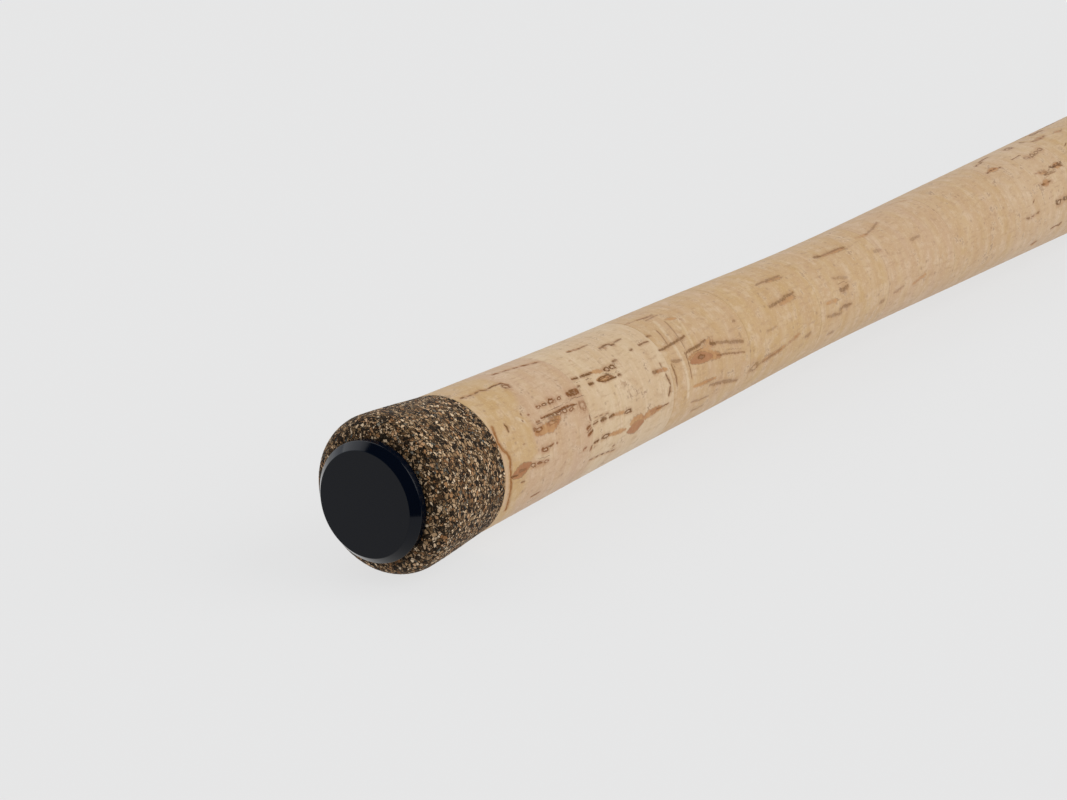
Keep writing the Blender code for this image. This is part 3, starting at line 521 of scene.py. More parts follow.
class Effects:
    """Node groups that more than one finish uses, each built once. Each takes a vector and numbers."""

    @classmethod
    def build(cls) -> None:
        """Builds the groups."""
        cls._build("round_the_rod", {}, ["Along", "Turn", "Reach"], cls._round_rod)
        cls._build("lathe_lines", {"Pitch": 0.0004}, ["Height"], cls._lathe)
        cls._build("small_specks", {"Size": 0.0006, "Share": 0.2}, ["Mask"], cls._specks)
        cls._build("handling", {"Size": 0.01, "Low": 0.2, "High": 0.3}, ["Roughness"], cls._handling)

    @staticmethod
    def _build(name: str, numbers: dict[str, float], outputs: list[str],
               fill: Callable[[Graph, dict], list[Wire]]) -> None:
        """Builds one group.

        Args:
            name: the group's name.
            numbers: default of each number input.
            outputs: names of the number outputs.
            fill: makes the group's nodes from its inputs and gives a wire for each output.
        """
        tree = bpy.data.node_groups.new(name, "ShaderNodeTree")
        tree.interface.new_socket(name="Vector", in_out="INPUT", socket_type="NodeSocketVector")
        for key, default in numbers.items():
            made = tree.interface.new_socket(name=key, in_out="INPUT", socket_type="NodeSocketFloat")
            made.default_value = default
        for key in outputs:
            tree.interface.new_socket(name=key, in_out="OUTPUT", socket_type="NodeSocketFloat")
        graph = Graph(tree)
        source = graph.outputs(tree.nodes.new("NodeGroupInput"))
        graph.place = source["Vector"]
        target = tree.nodes.new("NodeGroupOutput")
        for key, result in zip(outputs, fill(graph, source)):
            plug(result, target.inputs[key])

    @staticmethod
    def _round_rod(graph: Graph, source: dict) -> list[Wire]:
        """Station along the rod, share of a turn about it, and distance from its axis.

        Args:
            graph: The group's inner graph.
            source: The group's inputs by name.

        Returns:
            The three outputs.
        """
        parts = graph.node("SeparateXYZ", {0: source["Vector"]})
        x, y, z = (parts[i] for i in range(3))
        return [x, z.math("ARCTAN2", y) / TAU, (y * y + z * z).math("SQRT")]

    @staticmethod
    def _lathe(graph: Graph, source: dict) -> list[Wire]:
        """Uneven turning lines: one-way noise over the sum of station and radius.

        Args:
            graph: The group's inner graph.
            source: The group's inputs by name.

        Returns:
            The height.
        """
        where = graph.shared("round_the_rod")
        inputs = {"W": (where["Along"] + where["Reach"]) / source["Pitch"], "Scale": 1.0, "Detail": 2.0}
        return [graph.node("TexNoise", inputs, noise_dimensions="1D")["Fac"]]

    @staticmethod
    def _specks(graph: Graph, source: dict) -> list[Wire]:
        """Round specks in a share of the cells of a cell pattern.

        Args:
            graph: The group's inner graph.
            source: The group's inputs by name.

        Returns:
            The mask.
        """
        cells = graph.node("TexVoronoi", {"Vector": graph.place, "Scale": 1.0 / source["Size"]})
        chosen = cells["Color"].parts()[0].math("LESS_THAN", source["Share"])
        return [chosen * cells["Distance"].rising(0.34, 0.16)]

    @staticmethod
    def _handling(graph: Graph, source: dict) -> list[Wire]:
        """Roughness that drifts between two values, as on a handled surface.

        Args:
            graph: The group's inner graph.
            source: The group's inputs by name.

        Returns:
            The roughness.
        """
        inputs = {"Vector": graph.place, "Scale": 1.0 / source["Size"], "Detail": 4.0}
        share = graph.node("TexNoise", inputs)["Fac"].rising(0.35, 0.65)
        return [share.scaled(source["High"] - source["Low"], source["Low"])]


@dataclass(frozen=True)
class Finish:
    """A finish, with the record's material slot that it belongs to."""

    slot: str

    def paint(self, graph: Graph) -> dict[str, Value]:
        """Adds the finish's nodes and gives the shader's inputs, in lower case with underscores."""
        raise NotImplementedError

    def material(self) -> bpy.types.Material:
        """Material with one Principled shader.

        Returns:
            The new material.
        """
        material = bpy.data.materials.new(self.slot + "_finish")
        material.use_nodes = True
        graph = Graph(material.node_tree)
        graph.place = graph.node("TexCoord")["Object"]
        self.feed(material, self.paint(graph))
        return material

    @staticmethod
    def feed(material: bpy.types.Material, inputs: dict[str, Value]) -> bpy.types.Node:
        """Sets the inputs of a material's shader, named in lower case with underscores.

        Args:
            material: the material.
            inputs: a wire or value for each input.

        Returns:
            The shader.
        """
        shader = material.node_tree.nodes["Principled BSDF"]
        for key, value in inputs.items():
            plug(value, shader.inputs[key.replace("_", " ").title().replace("Ior", "IOR")])
        return shader


@dataclass(frozen=True)
class Cork(Finish):
    """Natural cork. Its grain attribute holds stain, rosy tone, pale tone and knots.

    Its vein attribute places the bark channels: distance from the channel's middle in half widths, number
    of cells run along it, then strength, and the kind: 1 for a chain of open cells, 0 for dashes, -1 for
    one dark stroke and -2 for an orange-brown line.
    """

    straw: Colour = (0.500, 0.316, 0.128)
    rose: Colour = (0.522, 0.343, 0.210)
    pale: Colour = (0.600, 0.445, 0.275)
    ochre: Colour = (0.330, 0.130, 0.035)
    amber: Colour = (0.460, 0.235, 0.080)
    bark: Colour = (0.140, 0.062, 0.018)
    russet: Colour = (0.200, 0.068, 0.016)
    line: Colour = (0.300, 0.130, 0.042)

    @staticmethod
    def channels(graph: Graph, fine: Wire) -> list[Wire]:
        """Bark channels: each stretch of a channel holds one oval of its own length, width and offset.

        Args:
            graph: where the nodes go.
            fine: fine noise that frays the edges.

        Returns:
            Masks of the dark parts, of the paler inside of open cells, of the soft halo, and of lines.
        """
        vein = graph.node("Attribute", attribute_name="vein")
        across, run, strength = vein["Color"].parts()
        looped, closed = vein["Alpha"].math("MAXIMUM", 0.0), vein["Alpha"] * -1.0
        whole = closed.math("MAXIMUM", 0.0).math("MINIMUM", 1.0)
        line = closed.math("GREATER_THAN", 1.5)
        drift = graph.noise(700.0, 1.0)
        across = across + fine.scaled(1.3, -0.65) + drift.scaled(1.8, -0.9)
        reading = run + drift.scaled(0.5, -0.25)
        draw = graph.node("TexWhiteNoise", {"W": reading.math("FLOOR")}, noise_dimensions="1D")
        long, wide, shift = draw["Color"].parts()
        along = (reading.math("FRACT") - 0.5) / long.scaled(0.14, 0.36)
        level = (across + shift.scaled(0.5, -0.25)) / wide.scaled(0.45, 0.75)
        oval = (along * along + level * level).math("SQRT")
        dashes = oval.rising(1.20, 0.50)
        oval = oval + fine.scaled(0.7, -0.35)
        rings = (oval - 0.80).math("ABSOLUTE").rising(0.50, 0.10)
        rings = rings.math("MAXIMUM", dashes * shift.math("GREATER_THAN", 0.78))
        stroke = across.math("ABSOLUTE").rising(1.20, 0.40)
        worn = graph.noise(1900.0, 2.0).rising(0.30, 0.58, 0.62, 1.0)
        broken = rings * looped + dashes * looped.scaled(-1.0, 1.0)
        mask = (stroke * whole + broken * whole.scaled(-1.0, 1.0)) * worn
        hollow = oval.rising(0.75, 0.35) * looped
        halo = across.math("ABSOLUTE").rising(2.9, 0.9)
        return [part * strength for part in (mask, hollow, halo)] + [line]

    def paint(self, graph: Graph) -> dict[str, Value]:
        """Mixes the ring's tone, mottling, turning lines, specks, stains and dark channels.

        Args:
            graph: The material's node graph.

        Returns:
            Principled inputs by name.
        """
        grain = graph.node("Attribute", attribute_name="grain")
        stain, tone, light = grain["Color"].parts()
        clouds, patches = graph.noise(130.0, 4.0, 0.6), graph.noise(420.0, 3.0, 0.6)
        fine = graph.noise(2600.0, 3.0, 0.6)
        fibres = graph.noise(1500.0, stretch=(0.3, 1.0, 1.0))
        lines, scores = (graph.shared("lathe_lines", Pitch=pitch)["Height"] for pitch in (0.0006, 0.0021))
        specks = graph.shared("small_specks", Size=0.0012, Share=0.10)["Mask"]
        dark, hollow, halo, line = self.channels(graph, fine)
        rough_edge = fine.scaled(1.1, -0.55) + patches.scaled(2.0, -1.0)
        spot, heart = stain + rough_edge, rough_edge.scaled(0.4, grain["Alpha"])
        outline = spot.rising(0.24, 0.40) * spot.rising(0.66, 0.44) * clouds.rising(0.46, 0.58, 0.05, 0.42)
        ink = graph.mix(tone.rising(0.60, 1.0, 0.0, 0.8), self.bark, self.russet)
        blot = graph.mix(patches.rising(0.38, 0.62), self.ochre, self.amber)
        colour = graph.layered(graph.mix(light, graph.mix(tone, self.straw, self.rose), self.pale), [
            (clouds.rising(0.35, 0.72, 0.0, 0.35), (0.46, 0.275, 0.135)),
            (patches.rising(0.48, 0.72, 0.0, 0.50), (0.68, 0.53, 0.37)),
            (fibres.rising(0.50, 0.75, 0.0, 0.42), (0.36, 0.205, 0.095)),
            (lines.rising(0.45, 0.75) * patches.rising(0.40, 0.62, 0.04, 0.26), (0.38, 0.23, 0.115)),
            (scores.rising(0.60, 0.80) * clouds.rising(0.50, 0.64, 0.0, 0.34), (0.70, 0.54, 0.37)),
            (fine.rising(0.52, 0.80, 0.0, 0.36), (0.74, 0.60, 0.42)),
            (specks * 0.34, (0.22, 0.110, 0.05)),
            (spot.rising(0.16, 0.90, 0.0, 0.88), blot),
            (outline, self.bark),
            (halo * 0.42, self.ochre),
            (heart.rising(0.25, 0.80, 0.0, 0.65), (0.34, 0.135, 0.050)),
            (heart.rising(0.18, 0.34) * heart.rising(0.62, 0.40, 0.0, 0.4), self.bark),
            (hollow * 0.30, (0.62, 0.46, 0.33)),
            (dark, graph.mix(line, ink, self.line)),
        ])
        height = dark.scaled(-0.9, lines.scaled(0.35, fine.scaled(0.35, fibres * 0.3)))
        return dict(
            base_color=colour, roughness=dark.rising(0.0, 1.0, 0.60, 0.80), sheen_weight=0.06,
            specular_ior_level=dark.rising(0.0, 1.0, 0.30, 0.06), sheen_roughness=0.45,
            normal=graph.bump(height, 0.00007),
        )


@dataclass(frozen=True)
class Burl(Finish):
    """Burl cork: tan, orange and brown slivers pressed in a near-black binder."""

    SHADES = (
        (0.00, (0.012, 0.007, 0.004)), (0.16, (0.018, 0.011, 0.006)), (0.27, (0.085, 0.044, 0.018)),
        (0.44, (0.235, 0.140, 0.064)), (0.63, (0.385, 0.242, 0.125)), (0.80, (0.580, 0.392, 0.225)),
        (0.95, (0.760, 0.570, 0.370)),
    )

    # Lean of each layer's slivers, how much they are squeezed along each axis, and cells a metre
    LAYERS = (
        (0.20, (1.30, 0.80, 0.80), 1650.0), (-0.30, (1.20, 0.70, 0.70), 1700.0),
        (0.45, (1.10, 0.70, 0.70), 1800.0), (0.0, (1.20, 0.9, 0.9), 2400.0),
    )

    def paint(self, graph: Graph) -> dict[str, Value]:
        """Slivers that lie along and across the rod and small crumbs, each with its own shade.

        Args:
            graph: The material's node graph.

        Returns:
            Principled inputs by name.
        """
        warp = graph.node("TexNoise", {"Vector": graph.place, "Scale": 1300.0, "Detail": 1.0})["Color"]
        inputs = {0: warp, 1: (0.0005,) * 3, 2: graph.place}
        warped = graph.node("VectorMath", inputs, operation="MULTIPLY_ADD")[0]
        shades, picks, gaps = [], [], []
        for lean, stretch, scale in self.LAYERS:
            turned = graph.node("Mapping", {0: warped, 2: (lean, 0.6 * lean, 1.7 * lean)})[0]
            inputs = {"Vector": turned.stretched(stretch), "Scale": scale}
            edge = graph.node("TexVoronoi", inputs, feature="DISTANCE_TO_EDGE")["Distance"]
            level, hue, pick = graph.node("TexVoronoi", inputs)["Color"].parts()
            gap = edge.rising(0.05, 0.17)
            orange = hue.math("GREATER_THAN", 0.80) * 0.55
            shade = graph.mix(orange, graph.ramp(level, self.SHADES), (0.400, 0.185, 0.070))
            shades.append(graph.mix(gap, (0.010, 0.005, 0.002), shade))
            picks.append(pick)
            gaps.append(gap)
        clouds, fine = graph.noise(420.0), graph.noise(6000.0, 2.0)
        colour = graph.layered(shades[3], [
            (picks[3].math("GREATER_THAN", 0.92) * 0.7, (0.100, 0.120, 0.110)),
            *((pick.math("GREATER_THAN", share), shade)
              for pick, share, shade in zip(picks, (0.58, 0.64, 0.70), shades)),
            (clouds.rising(0.50, 0.72, 0.0, 0.56), (0.022, 0.013, 0.007)),
            (fine.rising(0.50, 0.8, 0.0, 0.20), (0.50, 0.36, 0.22)),
        ])
        height = fine.scaled(0.35, gaps[0].scaled(0.5, gaps[1] * 0.5))
        return dict(
            base_color=colour, roughness=fine.rising(0.3, 0.7, 0.55, 0.75), specular_ior_level=0.07,
            normal=graph.bump(height, 0.00008),
        )


@dataclass(frozen=True)
class Anodised(Finish):
    """Black anodised aluminium, turned and lightly polished."""

    def paint(self, graph: Graph) -> dict[str, Value]:
        """Near-black with faint turning lines.

        Args:
            graph: The material's node graph.

        Returns:
            Principled inputs by name.
        """
        lines = graph.shared("lathe_lines", Pitch=0.00012)["Height"]
        return dict(
            base_color=graph.mix(lines, (0.0010, 0.0027, 0.0070), (0.0024, 0.0044, 0.0098)),
            roughness=graph.shared("handling", Size=0.012, Low=0.08, High=0.13)[0],
            specular_ior_level=0.19, normal=graph.bump(lines, 0.0000008),
        )


@dataclass(frozen=True)
class Graphite(Finish):
    """Moulded graphite-filled plastic of the reel seat."""

    def paint(self, graph: Graph) -> dict[str, Value]:
        """Dark grey with short pale fibres and a fine skin.

        Args:
            graph: The material's node graph.

        Returns:
            Principled inputs by name.
        """
        fibres = graph.noise(2600.0, 2.0, stretch=(0.25, 1.0, 1.0)).rising(0.56, 0.78, 0.0, 0.32)
        return dict(
            base_color=graph.mix(fibres, (0.0125, 0.0130, 0.0140), (0.055, 0.058, 0.062)),
            roughness=graph.shared("handling", Size=0.009, Low=0.30, High=0.44)[0],
            specular_ior_level=0.45, normal=graph.bump(graph.noise(5200.0, 2.0), 0.000012),
        )


@dataclass(frozen=True)
class Varnish(Finish):
    """Wound fibre blank under deep clear varnish, with the faint spiral that the shrink tape leaves."""

    tape_pitch: float = 0.0016

    def paint(self, graph: Graph) -> dict[str, Value]:
        """Dark brown fibres crossed by a spiral, under a coat.

        Args:
            graph: The material's node graph.

        Returns:
            Principled inputs by name.
        """
        spiral = graph.spiral(self.tape_pitch)
        fibres = graph.noise(4200.0, stretch=(0.08, 1.0, 1.0)).rising(0.4, 0.7)
        glints = graph.shared("small_specks", Size=0.00045, Share=0.10)["Mask"]
        colour = graph.layered(graph.mix(fibres, (0.0080, 0.0050, 0.0045), (0.034, 0.017, 0.012)), [
            (spiral * 0.30, (0.048, 0.022, 0.015)), (glints * 0.45, (0.20, 0.12, 0.075)),
        ])
        return dict(
            base_color=colour, roughness=0.38, coat_weight=1.0, coat_roughness=0.035,
            normal=graph.bump(spiral, 0.000010),
        )


@dataclass(frozen=True)
class Thread(Finish):
    """Wine-red thread wound edge to edge under clear epoxy, with a gold band where trim is painted."""

    pitch: float = 0.00019

    def paint(self, graph: Graph) -> dict[str, Value]:
        """One ridge a turn, its shade uneven from strand to strand, with painted shade in the grooves between
        turns and a painted highlight on the gold trim's crowns, under a smooth coat.

        Args:
            graph: The material's node graph.

        Returns:
            Principled inputs by name.
        """
        ridge = graph.spiral(self.pitch)
        lay = graph.noise(5200.0, 2.0, stretch=(1.0, 0.3, 0.3))
        trim = graph.node("Attribute", attribute_name="trim")["Fac"]
        colour = graph.layered(graph.mix(lay, (0.050, 0.0045, 0.0060), (0.150, 0.0140, 0.0150)), [
            # painted shade: darker colour in the groove between turns of thread
            (ridge.rising(0.0, 0.5, 0.55, 0.0), (0.012, 0.002, 0.002)),
            # gold trim with painted shade in its grooves and a painted highlight on its crowns
            (trim, graph.mix(ridge, (0.18, 0.095, 0.020), (0.70, 0.46, 0.14))),
        ])
        return dict(
            base_color=colour, roughness=0.42, metallic=trim * 0.75, coat_weight=1.0, coat_roughness=0.045,
            normal=graph.bump(ridge, 0.00003),
        )


@dataclass(frozen=True)
class Steel(Finish):
    """Stainless steel of the guides, drawn and tumbled."""

    def paint(self, graph: Graph) -> dict[str, Value]:
        """Bright metal with drifting roughness and fine scratches.

        Args:
            graph: The material's node graph.

        Returns:
            Principled inputs by name.
        """
        scratches = graph.noise(7000.0, 2.0, stretch=(1.0, 0.2, 1.0))
        colour = graph.mix(scratches.rising(0.45, 0.7, 0.0, 0.5), (0.56, 0.565, 0.575), (0.44, 0.445, 0.46))
        rough = graph.shared("handling", Size=0.004, Low=0.15, High=0.27)[0]
        return dict(base_color=colour, roughness=rough, metallic=1.0, normal=graph.bump(scratches, 0.000004))


@dataclass(frozen=True)
class Ceramic(Finish):
    """Hard dark ceramic of the line rings, lapped where the line runs."""

    def paint(self, graph: Graph) -> dict[str, Value]:
        """Blue-grey with a faint grain, polished.

        Args:
            graph: The material's node graph.

        Returns:
            Principled inputs by name.
        """
        colour = graph.mix(graph.noise(5200.0), (0.030, 0.034, 0.042), (0.060, 0.066, 0.078))
        rough = graph.shared("handling", Size=0.003, Low=0.05, High=0.12)[0]
        return dict(base_color=colour, roughness=rough, specular_ior_level=0.65)


class Workshop:
    """Turns surfaces into pieces that ride on the frame in place of its nodes."""

    FINISHES = (
        Cork("cork"), Burl("burl_cork"), Anodised("black_anodised"), Graphite("graphite"),
        Varnish("blank_varnish"), Thread("thread_wrap"), Steel("guide_steel"), Ceramic("guide_ceramic"),
    )

    def __init__(self, frame: dict) -> None:
        """Builds every finish and notes which body each node belongs to.

        Args:
            frame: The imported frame.
        """
        self.nodes = frame["nodes"]
        bodies = frame["record"]["behaviour"]["bodies"]
        self.body_of = {node: body for body, members in bodies.items() for node in members}
        Effects.build()
        self.materials = {finish.slot: finish.material() for finish in self.FINISHES}
        self.made = 0

    def dress(self, name: str, shell: Shell, slot: str, node: str, sharp: float = 40.0,
              **layers: Array) -> None:
        """Makes one piece, which stands for one CAD node.

        Args:
            name: the piece's name.
            shell: its surface, in the rod's own frame.
            slot: the record's material slot, which names its finish.
            node: the CAD node that it stands for.
            sharp: edges that bend by more than these degrees stay sharp.
            layers: values on its points: four numbers a point are kept as a colour, and one as a number.
        """
        mesh = shell.mesh(name, sharp)
        for key, values in layers.items():
            kind, field = ("FLOAT_COLOR", "color") if values.ndim == 2 else ("FLOAT", "value")
            layer = mesh.attributes.new(key, kind, "POINT")
            layer.data.foreach_set(field, values.astype(np.float32).ravel())
        mesh.materials.append(self.materials[slot])
        piece = bpy.data.objects.new(name, mesh)
        bpy.context.scene.collection.objects.link(piece)
        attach(piece, self.body_of[node])
        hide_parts(node)
        self.made += 1
        log.info("%s stands for %s with %d faces", name, node, len(mesh.polygons))

    def keep(self, node: str, slot: str) -> None:
        """Leaves a CAD node in sight and gives it a finish."""
        self.nodes[node].data.materials.clear()
        self.nodes[node].data.materials.append(self.materials[slot])


@dataclass(frozen=True)
class PhotoCamera:
    """Camera that stands as the photograph's did, with pixels of its 1067 by 800 picture."""

    place: Colour = (-0.401374, -0.315221, 0.191251)
    yaw: float = math.radians(34.933)
    pitch: float = math.radians(18.704)
    focal_pixels: float = 3215.6
    width: int = 1067
    height: int = 800
    sensor: float = 36.0
    clip: tuple[float, float] = (0.01, 60.0)
    search: tuple[float, float, int] = (0.45, 1.2, 6000)
    grip_end: float = 0.46

    def axes(self) -> tuple[Array, Array, Array]:
        """Right, up and forward directions of a camera with no roll.

        Returns:
            Three unit vectors.
        """
        level = np.array((math.cos(self.yaw), math.sin(self.yaw), 0.0))
        right = np.array((math.sin(self.yaw), -math.cos(self.yaw), 0.0))
        up = math.sin(self.pitch) * level + math.cos(self.pitch) * Z_AXIS
        forward = math.cos(self.pitch) * level - math.sin(self.pitch) * Z_AXIS
        return right, up, forward

    def set_up(self) -> None:
        """Makes the Blender camera and the scene's active one."""
        data = bpy.data.cameras.new("photo_camera")
        data.sensor_fit = "HORIZONTAL"
        data.sensor_width = self.sensor
        data.lens = self.focal_pixels / self.width * self.sensor
        data.clip_start, data.clip_end = self.clip
        camera = bpy.data.objects.new("photo_camera", data)
        bpy.context.scene.collection.objects.link(camera)
        right, up, forward = self.axes()
        turn = Matrix((right, up, -forward)).transposed().to_4x4()
        camera.matrix_world = Matrix.Translation(self.place) @ turn
        bpy.context.scene.camera = camera

    def meet(self, pixel: tuple[float, float], radius: Radius) -> tuple[float, float]:
        """Where a pixel's ray first meets the rod's surface.

        Args:
            pixel: column and row in the photograph.
            radius: the surface's radius at given stations.

        Returns:
            Station along the rod, and angle about it from +Y towards +Z.
        """
        right, up, forward = self.axes()
        across = (pixel[0] - self.width / 2) / self.focal_pixels
        down = (pixel[1] - self.height / 2) / self.focal_pixels
        ray = forward + across * right - down * up
        spots = np.array(self.place) + np.linspace(*self.search)[:, None] * ray
        depth = np.hypot(spots[:, 1], spots[:, 2]) - radius(np.clip(spots[:, 0], 0.0, self.grip_end))
        inside = np.flatnonzero(depth <= 0)
        spot = spots[inside[0] if len(inside) else int(np.argmin(depth))]
        return float(spot[0]), math.atan2(spot[2], spot[1])

    def pixel_size(self, x: float) -> float:
        """Size that one pixel covers at a station of the rod, across the view."""
        forward = self.axes()[2]
        return float((np.array((x, 0.0, 0.0)) - np.array(self.place)) @ forward) / self.focal_pixels

    def faces(self, x: Array, angle: Array) -> Array:
        """How far the surface turns to the camera: 1 is square on, and below 0 it is out of sight."""
        away = np.hypot(self.place[0] - x, np.hypot(*self.place[1:]))
        return (np.cos(angle) * self.place[1] + np.sin(angle) * self.place[2]) / away


class MarkKind(Enum):
    """What a mark in the cork looks like."""

    DASHES = "broken dark channel"
    STROKE = "one dark stroke"
    LINE = "orange-brown line"
    LOOPS = "chain of small open cells"
    STAIN = "ochre patch"
    KNOT = "leaf-shaped brown knot"
    ROSY = "soft rosy band"
    PALE = "soft pale band"


D, T, L, O, S, K, R, P = MarkKind

VEIN_CODES = {O: 1.0, D: 0.0, T: -1.0, L: -2.0}

# Length of one cell of a chain and of one dash with its gap, in half widths
CELL_SPANS = {O: 5.6, D: 9.0, T: 9.0, L: 9.0}


@dataclass(frozen=True)
class Mark:
    """One mark in the cork, along a path of (station, angle) points.

    Width is the mark's half width in metres, and strength is from 0 to 1.
    """

    kind: MarkKind
    width: float
    strength: float
    path: tuple[tuple[float, float], ...]
